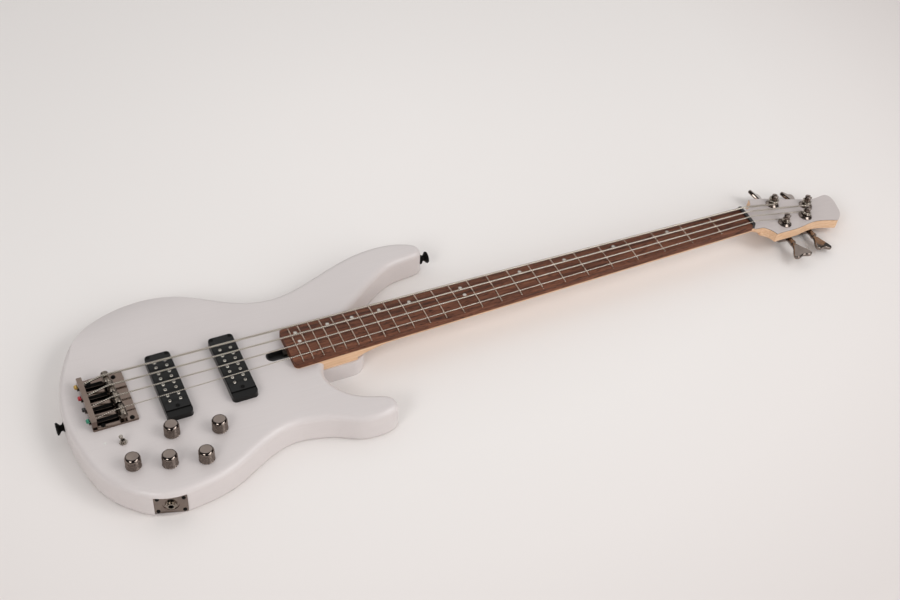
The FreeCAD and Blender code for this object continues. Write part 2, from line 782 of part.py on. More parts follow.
def cover_screw_places():
    """Screws in the lip of the control cavity's cover, each half way along a side."""
    points = [on_body(shares) for shares in CAVITY_SHARES]
    sides = [(points[index], points[(index + 1) % len(points)]) for index in COVER_SCREW_SIDES]
    return [(start + end) / 2 + side_normal(start, end) * S.cover_lip / 2 for start, end in sides]


def strap_cutter(name, seat, outward):
    """Flat seat and screw hole for a strap button."""
    seat_cut = cylinder(name + "_face", "Sizes.strap_base_radius + Sizes.fit_gap", "Sizes.overrun",
                        seat, outward)
    hole = cylinder(name + "_hole", "Sizes.strap_screw_radius",
                    "Sizes.strap_screw_length", seat, -outward)
    return join(name, [seat_cut, hole])


def jack_seat_cutter():
    """Flat seat for the jack plate and the bore behind it."""
    turn = JACK_TURN
    half_length = S.jack_plate_length / 2 + S.fit_gap
    half_height = S.jack_plate_height / 2 + S.fit_gap
    corner = JACK_PLACE + turn.multVec(Vector(-half_length, -half_height, 0))
    face = block("jack_seat", "Sizes.jack_plate_length + 2 * Sizes.fit_gap",
                 "Sizes.jack_plate_height + 2 * Sizes.fit_gap", "Sizes.overrun", corner, turn)
    bore = cylinder("jack_bore", "Sizes.jack_barrel_radius + Sizes.fit_gap",
                    "Sizes.jack_barrel_length + 2 * Sizes.clear_gap", JACK_PLACE, -JACK_DIRECTION)
    screws = [cylinder("jack_pilot", "Sizes.cover_screw_radius", "Sizes.cover_screw_length",
                       place, -JACK_DIRECTION) for place in jack_screw_places()]
    return join("jack_cutter", [face, bore] + screws)


def lid_axis():
    """Middle of the battery lid's hinge line."""
    reach = BOX_LENGTH / 2 + S.battery_rim - S.battery_lid_thickness / 2
    return Vector(BATTERY.x + reach, BATTERY.y, S.battery_lid_thickness / 2)


def lid_pin_holes():
    """Holes for the pins of the battery lid, one at each end of its hinge line."""
    reach = BOX_WIDTH / 2 + S.lid_pin_length + S.fit_gap
    return cylinder("lid_pin_holes", "Sizes.lid_pin_radius + Sizes.running_gap", "%.6f" % (2 * reach),
                    lid_axis() - ACROSS * reach, ACROSS)


def jack_screw_places():
    """Four screws at the corners of the jack plate, on the body's face."""
    reach_x = S.jack_plate_length / 2 - S.jack_screw_inset
    reach_y = S.jack_plate_height / 2 - S.jack_screw_inset
    return [JACK_PLACE + JACK_TURN.multVec(Vector(side * reach_x, level * reach_y, 0))
            for side in (1, -1) for level in (1, -1)]


def neck_section(body, x, top, half_width, depth, power):
    """Cross-section of the neck: a flat top and a back that follows a superellipse of the given power."""
    steps = 16
    back = []
    for index in range(steps + 1):
        turn = math.pi * index / steps
        across = math.copysign(abs(math.cos(turn)) ** (2 / power), math.cos(turn))
        down = abs(math.sin(turn)) ** (2 / power)
        back.append(Vector(half_width * across, top - depth * down, 0))
    lid = Part.LineSegment(back[-1], back[0])
    return sketch(body, [spline(back), lid], "YZ_Plane", Vector(0, 0, x))


def loft(body, drawings):
    """Solid through cross-sections."""
    feature = body.newObject("PartDesign::AdditiveLoft", "Loft")
    feature.Profile = drawings[0]
    feature.Sections = drawings[1:]
    doc.recompute()
    return feature


def head_outline(start):
    """Plan of the headstock on its own face, from a start on the narrow root to the slanted tip."""
    narrow = on_head(HEAD_BASS_FLARE_SHARES[0]).y
    runs = [HEAD_BASS_FLARE_SHARES, HEAD_BASS_SHARES, HEAD_TIP_SHARES,
            HEAD_TREBLE_SHARES, HEAD_TREBLE_FLARE_SHARES]
    edges = [spline([on_head(shares) for shares in run]) for run in runs]
    first, last = on_head(HEAD_BASS_FLARE_SHARES[0]), on_head(HEAD_TREBLE_FLARE_SHARES[-1])
    near_high, near_low = Vector(start, narrow, 0), Vector(start, -narrow, 0)
    return edges + [Part.LineSegment(last, near_low), Part.LineSegment(near_low, near_high),
                    Part.LineSegment(near_high, first)]


def make_neck():
    """Neck: square heel, round back that tapers to the nut, and the tilted headstock."""
    body = new_body("neck_solid")
    heel_depth = NECK_TOP - POCKET_FLOOR
    heel = sketch(body, neck_outline(0, S.heel_foot, S.neck_corner), base=Vector(0, 0, POCKET_FLOOR))
    pad(body, heel, "Sizes.pocket_depth + Sizes.neck_rise")
    sections = []
    for place_share, depth_share, power in HEEL_SECTION_SHARES:
        x = S.heel_foot + (S.heel_toe - S.heel_foot) * place_share
        depth = heel_depth + (S.neck_depth_heel - heel_depth) * depth_share
        sections.append(neck_section(body, x, NECK_TOP, neck_half_width(x), depth, power))
    loft(body, sections)
    toe = neck_section(body, S.heel_toe, NECK_TOP, neck_half_width(S.heel_toe), S.neck_depth_heel,
                       HEEL_SECTION_SHARES[-1][-1])
    end = neck_section(body, HEAD_START, NECK_TOP, S.nut_width / 2, S.neck_depth, NECK_POWER_SHARE)
    loft(body, [toe, end])
    wood_top = NECK_TOP - S.headstock_drop - S.veneer_thickness
    thickness = S.headstock_thickness - S.veneer_thickness
    flare = on_head(HEAD_BASS_FLARE_SHARES[0])
    fall = flare.x * math.tan(math.radians(S.headstock_tilt))
    root = neck_section(body, HEAD_START, wood_top, S.nut_width / 2,
                        S.neck_depth - S.headstock_drop - S.veneer_thickness, NECK_POWER_SHARE)
    head = neck_section(body, HEAD_START + flare.x, wood_top - fall, flare.y, thickness, ROOT_POWER_SHARE)
    loft(body, [root, head])
    under_veneer = HEAD_FRAME.multVec(Vector(0, 0, -S.veneer_thickness))
    square = head_outline(flare.x * ROOT_OVERLAP_SHARE)
    pad(body, sketch(body, square, "XY_Plane", under_veneer, HEAD_TILT),
        "Sizes.headstock_thickness - Sizes.veneer_thickness", down=True)
    drill_neck(body, under_veneer)
    node(body, "neck")


def drill_neck(body, under_veneer):
    """Channel for the truss rod, holes for the bolts and for the tuning machines."""
    half = S.rod_radius + S.fit_gap
    channel = box_outline(S.neck_end - S.fit_gap, S.rod_end, -half, half, half * 0.5)
    pocket(body, sketch(body, channel, base=Vector(0, 0, NECK_TOP)), "Sizes.rod_depth + Sizes.rod_radius")
    bolts = [circle(place.x, place.y, S.bolt_radius) for place in BOLT_PLACES]
    pocket(body, sketch(body, bolts, base=Vector(0, 0, POCKET_FLOOR)),
           "Sizes.bolt_length - Sizes.body_thickness + Sizes.pocket_depth", up=True)
    posts = [circle(on_head(shares).x, on_head(shares).y, S.sleeve_radius + S.running_gap)
             for shares in POST_SHARES.values()]
    pocket(body, sketch(body, posts, "XY_Plane", under_veneer, HEAD_TILT), "Sizes.headstock_thickness")


def make_headstock_face():
    """Thin painted face on the headstock."""
    body = new_body("headstock_face")
    place = HEAD_FRAME.multVec(Vector(0, 0, -S.veneer_thickness))
    pad(body, sketch(body, head_outline(0), "XY_Plane", place, HEAD_TILT), "Sizes.veneer_thickness")
    posts = [circle(on_head(shares).x, on_head(shares).y, S.sleeve_radius + S.running_gap)
             for shares in POST_SHARES.values()]
    pocket(body, sketch(body, posts, "XY_Plane", place, HEAD_TILT), "Sizes.veneer_thickness", up=True)
    node(body, "headstock_face")


def make_fingerboard():
    """Tapered fingerboard with a curved face, its frets and its inlaid dots."""
    blank = new_body("board_blank")
    outline = neck_outline(0, S.scale_length, S.neck_corner)
    pad(blank, sketch(blank, outline, base=Vector(0, 0, NECK_TOP)), "Sizes.board_thickness")
    axis_height = BOARD_TOP - S.board_radius
    round_face = cylinder("board_round", "Sizes.board_radius", "Sizes.scale_length",
                          Vector(0, 0, axis_height), ALONG)
    curved = doc.addObject("Part::Common", "board_curved")
    curved.Base, curved.Tool = blank, round_face
    doc.recompute()
    plugs = []
    for fret in DOT_FRETS:
        x = (fret_place(fret) + fret_place(fret - 1)) / 2
        rows = (DOT_SHARE, SECOND_DOT_SHARE) if fret in DOUBLE_DOT_FRETS else (DOT_SHARE,)
        for share in rows:
            y = share * neck_half_width(x)
            base = Vector(x, y, BOARD_TOP - crown_drop(y) - S.dot_depth)
            plugs.append(cylinder("dot_plug", "Sizes.dot_radius", "2 * Sizes.dot_depth", base))
    plug_group = gather("dot_plugs", plugs)
    node(cut("fingerboard", curved, [plug_group]), "fingerboard")
    dots = doc.addObject("Part::Common", "dots")
    dots.Base, dots.Tool = plug_group, round_face
    node(dots, "position_dots")
    frets = doc.addObject("Part::Feature", "fret_wires")
    numbers = range(1, int(S.fret_count) + 1)
    frets.Shape = Part.makeCompound([fret_wire(number, axis_height) for number in numbers])
    node(frets, "frets")


def fret_wire(number, axis_height):
    """One fret: a half-round crown turned about the fingerboard's own axis, as wide as the board there."""
    x = fret_place(number)
    half = neck_half_width(x) - S.fret_inset
    sweep = math.degrees(math.asin(half / S.board_radius))
    foot = BOARD_TOP
    low, high = Vector(x - S.fret_width / 2, 0, foot), Vector(x + S.fret_width / 2, 0, foot)
    crown = Part.Arc(low, Vector(x, 0, foot + S.fret_height), high)
    profile = Part.Face(Part.Wire([crown.toShape(), Part.LineSegment(high, low).toShape()]))
    axis = Vector(0, 0, axis_height)
    profile.rotate(axis, ALONG, -sweep)
    return profile.revolve(axis, ALONG, 2 * sweep)


def make_nut():
    """Nut with a slot for each string."""
    body = new_body("nut_blank")
    half = S.nut_width / 2
    round_top = BOARD_TOP + S.fret_height + S.nut_lift + S.string_a_radius
    side = round_top - crown_drop(half)
    ridge = Part.Arc(Vector(half, side, 0), Vector(0, round_top, 0), Vector(-half, side, 0))
    low = [Vector(-half, side, 0), Vector(-half, NECK_TOP, 0),
           Vector(half, NECK_TOP, 0), Vector(half, side, 0)]
    front = [ridge] + [Part.LineSegment(a, b) for a, b in zip(low, low[1:])]
    pad(body, sketch(body, front, "YZ_Plane", Vector(0, 0, S.scale_length)), "Sizes.headstock_setback")
    slots = []
    for name in STRING_NAMES:
        centre = nut_point(name)
        base = centre - ALONG * S.nut_thickness * 2
        gap = "Sizes.string_%s_radius + Sizes.running_gap" % name
        slot = cylinder("nut_slot", gap, "Sizes.nut_thickness * 4", base, ALONG)
        open_slot = block("nut_open", "Sizes.nut_thickness * 4", "2 * (%s)" % gap, "Sizes.nut_height",
                          base - ACROSS * (string_radius(name) + S.running_gap))
        slots += [slot, open_slot]
    node(cut("nut", body, [join("nut_slots", slots)]), "nut")


def make_truss_rod():
    """Truss rod in its channel with the adjusting nut in the well."""
    height = NECK_TOP - S.rod_depth
    rod = cylinder("rod", "Sizes.rod_radius",
                   "Sizes.rod_end - Sizes.neck_end - Sizes.fit_gap - Sizes.rod_radius",
                   Vector(S.neck_end, 0, height), ALONG)
    nut = new_body("rod_nut")
    ring = [Vector(S.rod_nut_radius, 0, 0)]
    for index in range(1, 6):
        ring.append(Rotation(UP, index * 60).multVec(ring[0]))
    pad(nut, sketch(nut, polygon(ring)), "Sizes.rod_nut_length")
    pocket(nut, sketch(nut, [circle(0, 0, S.rod_nut_radius / 2)]), "Sizes.rod_nut_length / 2", up=True)
    nut.Placement = Placement(Vector(S.neck_end - S.rod_nut_length, 0, height), Rotation(UP, ALONG))
    node(join("truss_rod", [rod, nut]), "truss_rod")
    well = new_body("well")
    pad(well, sketch(well, well_outline(0), base=Vector(0, 0, TOP - S.well_depth)),
        "Sizes.well_depth + Sizes.well_rim")
    pocket(well, sketch(well, well_outline(-S.well_wall), base=Vector(0, 0, TOP + S.well_rim)),
           "Sizes.well_depth + Sizes.well_rim - Sizes.well_wall")
    half = S.well_width / 2
    mouth = box_outline(S.neck_end - S.well_wall - S.rod_nut_length, S.neck_end + S.overrun,
                        -half + S.well_wall, half - S.well_wall, 0.0)
    pocket(well, sketch(well, mouth, base=Vector(0, 0, TOP + S.well_rim)),
           "Sizes.well_depth + Sizes.well_rim - Sizes.well_wall")
    node(well, "truss_rod_well")


def make_neck_bolts():
    """Four neck bolts through ferrules in the body's back."""
    bolt = new_body("bolt")
    seat = S.bolt_recess + S.bolt_head_height
    shank, end = S.bolt_radius - S.running_gap, S.bolt_length - S.fit_gap
    turned(bolt, [(0, S.bolt_recess), (S.bolt_head_radius, S.bolt_recess), (S.bolt_head_radius, seat),
                  (shank, seat), (shank, end), (0, end)])
    places = [at(place.x, place.y) for place in BOLT_PLACES]
    node(copies("bolts", bolt, places), "neck_bolts")
    ferrule = new_body("ferrule")
    bore, counterbore = S.bolt_radius + S.fit_gap, S.bolt_head_radius + S.fit_gap
    turned(ferrule, [(counterbore, 0), (S.ferrule_radius, 0), (S.ferrule_radius, S.ferrule_height),
                     (bore, S.ferrule_height), (bore, seat), (counterbore, seat)])
    node(copies("ferrules", ferrule, places), "neck_ferrules")


# Strings

def arc_from(start, heading, stop):
    """Arc that leaves start along heading and ends at stop."""
    chord = stop - start
    along = Vector(chord).normalize()
    lean = heading - along * heading.dot(along)
    sag = chord.Length / 2 * math.tan(heading.getAngle(chord) / 2)
    return Part.Arc(start, start + chord / 2 + lean.normalize() * sag, stop).toShape()


def biarc(start, heading, stop, leaving):
    """Two arcs that meet smoothly, between two points with given directions."""
    chord = stop - start
    both = chord.dot(heading + leaving)
    bend = 2 * (1 - heading.dot(leaving))
    reach = (math.sqrt(both ** 2 + bend * chord.dot(chord)) - both) / bend
    first, last = start + heading * reach, stop - leaving * reach
    middle = (first + last) / 2
    return [arc_from(start, heading, middle), arc_from(middle, (last - first).normalize(), stop)]


def wall_point(name):
    """Centre of a string where it leaves the rear face of the bridge's wall."""
    return Vector(-S.plate_back, STRING_SHARES[name] * S.string_spacing, TOP + S.string_hole_height)


def string_line(name):
    """Direction of a string's speaking length."""
    return (nut_point(name) - bridge_point(name)).normalize()


def bend_point(name):
    """Corner of a string behind its saddle's crest."""
    return bridge_point(name) - string_line(name) * S.saddle_bend_back


def wrap_points(name, start):
    """Points and directions of a string's wraps, which climb its post, at each quarter turn."""
    side = math.copysign(1, STRING_SHARES[name])
    post = on_head(POST_SHARES[name])
    radius = S.post_radius + S.clear_gap + string_radius(name)
    local = HEAD_FRAME.inverse().multVec(start)
    apart = Vector(post.x - local.x, post.y - local.y, 0)
    heading = math.atan2(apart.y, apart.x) - side * math.asin(radius / apart.Length)
    first = heading - side * math.pi / 2
    low = S.wrap_start + string_radius(name)
    pitch = 2 * string_radius(name) + S.wrap_gap
    points, directions = [], []
    for quarter in range(int(WRAP_TURNS[name] * 4) + 1):
        turn = first + side * quarter * math.pi / 2
        place = Vector(post.x + radius * math.cos(turn), post.y + radius * math.sin(turn),
                       low + pitch * quarter / 4)
        ahead = Vector(-side * math.sin(turn) * radius, side * math.cos(turn) * radius, pitch / (2 * math.pi))
        points.append(HEAD_FRAME.multVec(place))
        directions.append(HEAD_TILT.multVec(ahead).normalize())
    return points, directions


def corner_arc(before, corner, after):
    """Bend of a string at a corner: its two ends and the arc between them."""
    inward, outward = (corner - before).normalize(), (after - corner).normalize()
    reach = S.string_bend * math.tan(inward.getAngle(outward) / 2)
    start, stop = corner - inward * reach, corner + outward * reach
    return start, stop, arc_from(start, inward, stop)


def string_wire(name):
    """Centre line of a string from the bridge's wall to the end of its wraps."""
    wall, bend = wall_point(name), bend_point(name)
    reach = S.nut_thickness + S.string_bend * math.sin(math.radians(S.headstock_tilt))
    nut_bend = nut_point(name) + string_line(name) * reach
    points, directions = wrap_points(name, nut_bend)
    low_start, low_stop, low_arc = corner_arc(wall, bend, nut_bend)
    nut_start, nut_stop, nut_arc = corner_arc(bend, nut_bend, points[0])
    edges = [Part.LineSegment(wall, low_start).toShape(), low_arc]
    edges += [Part.LineSegment(low_stop, nut_start).toShape(), nut_arc]
    edges.append(Part.LineSegment(nut_stop, points[0]).toShape())
    directions[0] = (points[0] - nut_stop).normalize()
    wraps = []
    for start, heading, stop, leaving in zip(points, directions, points[1:], directions[1:]):
        wraps += biarc(start, heading, stop, leaving)
    return Part.Wire(edges + wraps), wraps


def least_gap(wraps, radius):
    """Least gap between neighbouring wraps, measured on points along the centre line."""
    steps = 12
    points = [edge.valueAt(edge.FirstParameter + (edge.LastParameter - edge.FirstParameter) * step / steps)
              for edge in wraps for step in range(steps)]
    half_turn = 4 * steps
    nearest = min((points[first] - points[second]).Length
                  for first in range(len(points)) for second in range(first + half_turn, len(points)))
    return nearest - 2 * radius


def make_strings():
    """Four strings in one piece each, from the bridge over saddle and nut onto their posts."""
    for name in STRING_NAMES:
        radius = string_radius(name)
        wire, wraps = string_wire(name)
        start = wall_point(name)
        heading = (bend_point(name) - start).normalize()
        profile = Part.Wire([Part.Circle(start, heading, radius).toShape()])
        tube = doc.addObject("Part::Feature", "string_tube")
        tube.Shape = wire.makePipeShell([profile], True, False)
        node(tube, "string_" + name)
        print("string_%s: least gap between wraps %.2f mm" % (name, least_gap(wraps, radius)))
    ball = new_body("ball_end")
    half, shoulder = S.ball_length / 2, S.ball_radius * 0.7
    turned(ball, [(0, -half), (shoulder, -half), (S.ball_radius, -shoulder), (S.ball_radius, shoulder),
                  (shoulder, half), (0, half)])
    lying = Rotation(UP, ACROSS)
    back = S.plate_back + S.clear_gap + S.ball_radius
    places = [at(-back, wall_point(name).y, wall_point(name).z, lying)
              for name in STRING_NAMES]
    node(copies("ball_group", ball, places), "ball_ends")


# Bridge

def make_bridge():
    """Base plate with a rear wall, its screws, the saddles and their intonation screws."""
    body = new_body("plate")
    outline = box_outline(-S.plate_back, S.plate_front, -S.plate_treble_reach, S.plate_bass_reach,
                          S.wood_screw_radius)
    pad(body, sketch(body, outline, base=Vector(0, 0, TOP)), "Sizes.plate_thickness")
    wall = box_outline(-S.plate_back, S.wall_thickness - S.plate_back,
                       -S.wall_treble_reach, S.wall_bass_reach, S.flange_height)
    pad(body, sketch(body, wall, base=Vector(0, 0, TOP)), "Sizes.wall_height")
    holes = [circle(place.x, place.y, S.wood_screw_radius + S.fit_gap) for place in PLATE_SCREWS]
    pocket(body, sketch(body, holes, base=Vector(0, 0, TOP)), "Sizes.plate_thickness", up=True)
    tools = []
    for name in STRING_NAMES:
        start = wall_point(name)
        heading = (bend_point(name) - start).normalize()
        gap = "Sizes.string_%s_radius + Sizes.clear_gap" % name
        tools.append(cylinder("string_hole", gap, "Sizes.wall_thickness * 3",
                              start - heading * S.wall_thickness, heading))
        low = Vector(-S.plate_back - S.wall_thickness, start.y, TOP + S.setscrew_height)
        tools.append(cylinder("setscrew_hole", "Sizes.setscrew_radius + Sizes.fit_gap",
                              "Sizes.wall_thickness * 3", low, ALONG))
    node(cut("bridge_plate", body, [gather("wall_holes", tools)]), "bridge_plate")
    screw = new_body("plate_screw")
    height, seat, head = S.wood_screw_head_height, S.plate_thickness, S.wood_screw_head_radius
    thin = S.wood_screw_radius - S.running_gap
    turned(screw, [(0, seat - S.wood_screw_length + S.fit_gap), (thin, seat - S.wood_screw_length * 0.9),
                   (thin, seat), (head, seat), (head * 0.8, seat + height * 0.7),
                   (head * 0.4, seat + height), (0, seat + height)])
    places = [Placement(place, Rotation()) for place in PLATE_SCREWS]
    node(copies("plate_screws", screw, places), "bridge_screws")
    for name in STRING_NAMES:
        make_saddle(name)
    setscrews = []
    for name in STRING_NAMES:
        base = Vector(-S.plate_back, wall_point(name).y, TOP + S.setscrew_height)
        shank = cylinder("setscrew", "Sizes.setscrew_radius", "Sizes.plate_back - Sizes.setscrew_end",
                         base, ALONG)
        head = cylinder("setscrew_head", "Sizes.setscrew_head_radius", "Sizes.setscrew_head_length",
                        base, -ALONG)
        setscrews.append(join("setscrew_whole", [shank, head]))
    node(gather("setscrews", setscrews), "intonation_screws")


def make_saddle(name):
    """Round saddle on a lug that slides along its intonation screw, with the two grub screws it stands on."""
    centre = bridge_point(name)
    crest = centre.z - string_radius(name) - S.clear_gap
    axis_height = crest - S.saddle_radius
    bar = new_body("saddle_bar")
    thin, half = S.saddle_radius - S.saddle_bevel, S.saddle_width / 2
    turned(bar, [(0, -half), (thin, -half), (S.saddle_radius, S.saddle_bevel - half),
                 (S.saddle_radius, half - S.saddle_bevel), (thin, half), (0, half)])
    bar.Placement = Placement(Vector(centre.x, centre.y, axis_height), Rotation(UP, ACROSS))
    low = TOP + S.plate_thickness + S.saddle_lift_gap
    lug = block("saddle_lug", "Sizes.lug_length", "Sizes.lug_width", "%.6f" % (axis_height - low),
                Vector(centre.x - S.lug_length / 2, centre.y - S.lug_width / 2, low))
    bore = cylinder("saddle_bore", "Sizes.setscrew_radius + Sizes.running_gap", "Sizes.lug_length * 2",
                    Vector(centre.x - S.lug_length, centre.y, TOP + S.setscrew_height), ALONG)
    foot = TOP + S.plate_thickness + S.running_gap
    wells, grubs = [], []
    for offset in (S.grub_spread / 2, -S.grub_spread / 2):
        place = Vector(centre.x, centre.y + offset, foot)
        wells.append(cylinder("grub_hole", "Sizes.grub_radius + Sizes.running_gap", "Sizes.wall_height * 2",
                              place))
        grubs.append(make_grub(place, crest - foot))
    whole = cut("saddle_solid", join("saddle_round", [bar, lug]), [bore] + wells)
    node(gather("saddle_set", [whole] + grubs), "saddle_" + name)


def make_grub(place, height):
    """Headless height screw with a socket in its top."""
    grub = new_body("grub")
    floor = height - S.grub_socket_depth
    turned(grub, [(0, 0), (S.grub_radius, 0), (S.grub_radius, height), (S.grub_socket_radius, height),
                  (S.grub_socket_radius, floor), (0, floor)])
    grub.Placement = Placement(place, Rotation())
    return grub


# Pickups

def make_pickups():
    """Two soapbar pickups with paired pole pieces, coils and fixing screws."""
    floor = TOP - S.pickup_depth
    for label, place in PICKUP_PLACES.items():
        node(make_cover(place, floor), "pickup_" + label)
    pole = cylinder("pole", "Sizes.pole_radius", "Sizes.pickup_height + Sizes.pole_proud")
    node(copies("poles", pole, [at(place.x, place.y, floor) for place in pole_places()]), "pole_pieces")
    coil = new_body("coil")
    half_width, half_length = S.coil_width / 2, S.coil_length / 2
    pad(coil, sketch(coil, box_outline(-half_width, half_width, -half_length, half_length, half_width * 0.9)),
        "Sizes.coil_height")
    slot, reach = S.coil_slot / 2, half_length - half_width + S.coil_slot / 2
    pocket(coil, sketch(coil, box_outline(-slot, slot, -reach, reach, slot * 0.9)), "Sizes.coil_height",
           up=True)
    places = [at(place + column, 0, floor) for place in PICKUP_PLACES.values()
              for column in (S.pole_columns / 2, -S.pole_columns / 2)]
    node(copies("coils", coil, places), "pickup_coils")
    screw = new_body("pickup_screw")
    head, thin = S.pickup_screw_head, S.pickup_screw_radius - S.running_gap
    depth = S.pickup_wall / 2
    turned(screw, [(0, S.pickup_ledge_drop - S.pickup_screw_length),
                   (thin, S.pickup_wall - S.pickup_screw_length),
                   (thin, -depth), (head, -depth), (head, -S.running_gap), (0, -S.running_gap)])
    places = [at(place.x, place.y, floor + S.pickup_height) for place in pickup_screw_places()]
    node(copies("pickup_screw_set", screw, places), "pickup_screws")


def pole_places():
    """Poles in two columns under each string, in pairs astride it."""
    places = []
    for place in PICKUP_PLACES.values():
        for name in STRING_NAMES:
            across = STRING_SHARES[name] * S.string_spacing
            for column in (S.pole_columns / 2, -S.pole_columns / 2):
                places += [Vector(place + column, across + S.pole_pair / 2, 0),
                           Vector(place + column, across - S.pole_pair / 2, 0)]
    return places


def make_cover(place, floor):
    """Hollow pickup cover with a lower ledge at the high-string end."""
    body = new_body("cover")
    half = S.pickup_width / 2
    outline = box_outline(place - half, place + half, PICKUP_Y_LOW, PICKUP_Y_HIGH, S.pickup_corner)
    block_pad = pad(body, sketch(body, outline, base=Vector(0, 0, floor)), "Sizes.pickup_height")
    top = floor + S.pickup_height
    rim = ["Edge%d" % (index + 1) for index, edge in enumerate(body.Shape.Edges)
           if edge.BoundBox.ZMin > top - S.running_gap]
    rounding = body.newObject("PartDesign::Fillet", "Rounding")
    rounding.Base = (block_pad, rim)
    bind(rounding, Radius="Sizes.pickup_edge")
    doc.recompute()
    slope = [Vector(PICKUP_Y_LOW - S.pickup_edge, top - S.pickup_ledge_drop * 1.3, 0),
             Vector(PICKUP_Y_LOW + S.pickup_ledge, top - S.pickup_ledge_drop * 0.7, 0),
             Vector(PICKUP_Y_LOW + S.pickup_ledge, top + S.pickup_edge, 0),
             Vector(PICKUP_Y_LOW - S.pickup_edge, top + S.pickup_edge, 0)]
    pocket(body, sketch(body, polygon(slope), "YZ_Plane", Vector(0, 0, place + S.pickup_width)),
           "Sizes.pickup_width * 2")
    wall = S.pickup_wall
    low, high = PICKUP_Y_LOW + S.pickup_ledge + wall * 2.4, PICKUP_Y_HIGH - wall * 2.4
    reach = half - wall * 0.6
    inner = box_outline(place - reach, place + reach, low, high, S.pickup_corner * 0.5)
    pocket(body, sketch(body, inner, base=Vector(0, 0, floor)), "Sizes.pickup_height - Sizes.pickup_wall",
           up=True)
    mine = [spot for spot in pole_places() if abs(spot.x - place) < half]
    holes = [circle(spot.x, spot.y, S.pole_radius + S.running_gap) for spot in mine]
    pocket(body, sketch(body, holes, base=Vector(0, 0, top)), "Sizes.pickup_wall * 2")
    screws = [spot for spot in pickup_screw_places() if abs(spot.x - place) < half]
    bores = [circle(spot.x, spot.y, S.pickup_screw_radius + S.fit_gap) for spot in screws]
    pocket(body, sketch(body, bores, base=Vector(0, 0, top)), "Sizes.pickup_height")
    sinks = [circle(spot.x, spot.y, S.pickup_screw_head + S.fit_gap) for spot in screws]
    pocket(body, sketch(body, sinks, base=Vector(0, 0, top)), "Sizes.pickup_wall / 2")
    return body


# Controls

def make_controls():
    """Five knobs on potentiometers, the toggle switch and the status light."""
    ceiling = TOP - (S.body_thickness - S.cavity_depth)
    for label, shares in KNOB_SHARES.items():
        make_knob(label, on_body(shares), ceiling)
    pot = new_body("pot")
    bore = S.shaft_radius + S.running_gap
    deep = -S.pot_height * 0.6
    turned(pot, [(0, -S.pot_height), (S.pot_radius, -S.pot_height), (S.pot_radius, 0), (S.pot_bush_radius, 0),
                 (S.pot_bush_radius, S.pot_bush_height), (bore, S.pot_bush_height), (bore, deep), (0, deep)])
    knobs = [on_body(shares) for shares in KNOB_SHARES.values()]
    node(copies("pots", pot, [at(place.x, place.y, ceiling) for place in knobs]), "potentiometers")
    nut = hex_nut("pot_nut", S.pot_nut_radius, S.pot_bush_radius + S.running_gap, "Sizes.pot_nut_height")
    node(copies("pot_nut_set", nut, [at(place.x, place.y, TOP) for place in knobs]), "pot_nuts")
    make_toggle(ceiling)
    led = on_body(LED_SHARES)
    node(cylinder("led", "Sizes.led_radius", "Sizes.led_length",
                  Vector(led.x, led.y, TOP - S.led_length + S.fit_gap)), "status_led")


def hex_nut(name, radius, bore, height):
    """Six-sided nut."""
    body = new_body(name)
    corners = [Rotation(UP, index * 60).multVec(Vector(radius, 0, 0)) for index in range(6)]
    pad(body, sketch(body, polygon(corners) + [circle(0, 0, bore)]), height)
    return body


def make_knob(label, place, ceiling):
    """Knob cap with its index dot, on a shaft that turns in the potentiometer."""
    cap = new_body("knob")
    bore, outer, top = S.shaft_radius + S.running_gap, S.knob_radius, S.knob_height
    seat = S.knob_skirt + S.shaft_seat
    hollow = outer - S.knob_wall
    turned(cap, [(bore, S.knob_skirt), (hollow, S.knob_skirt), (hollow, 0), (outer, 0),
                 (outer, top - S.knob_shoulder), (outer - S.knob_shoulder * 0.4, top - S.knob_shoulder * 0.4),
                 (outer - S.knob_shoulder, top), (0, top), (0, seat), (bore, seat)])
    dot = circle(0, -outer * 0.6, S.knob_index_radius)
    pocket(cap, sketch(cap, [dot], base=Vector(0, 0, top)), "Sizes.knob_index_depth")
    base = TOP + S.knob_lift
    cap.Placement = at(place.x, place.y, base)
    bottom = ceiling - S.pot_height * 0.6 + S.fit_gap
    shaft = cylinder("shaft", "Sizes.shaft_radius", "%.6f" % (base + seat - bottom),
                     Vector(place.x, place.y, bottom))
    node(gather("knob_set", [cap, shaft]), "knob_" + label)


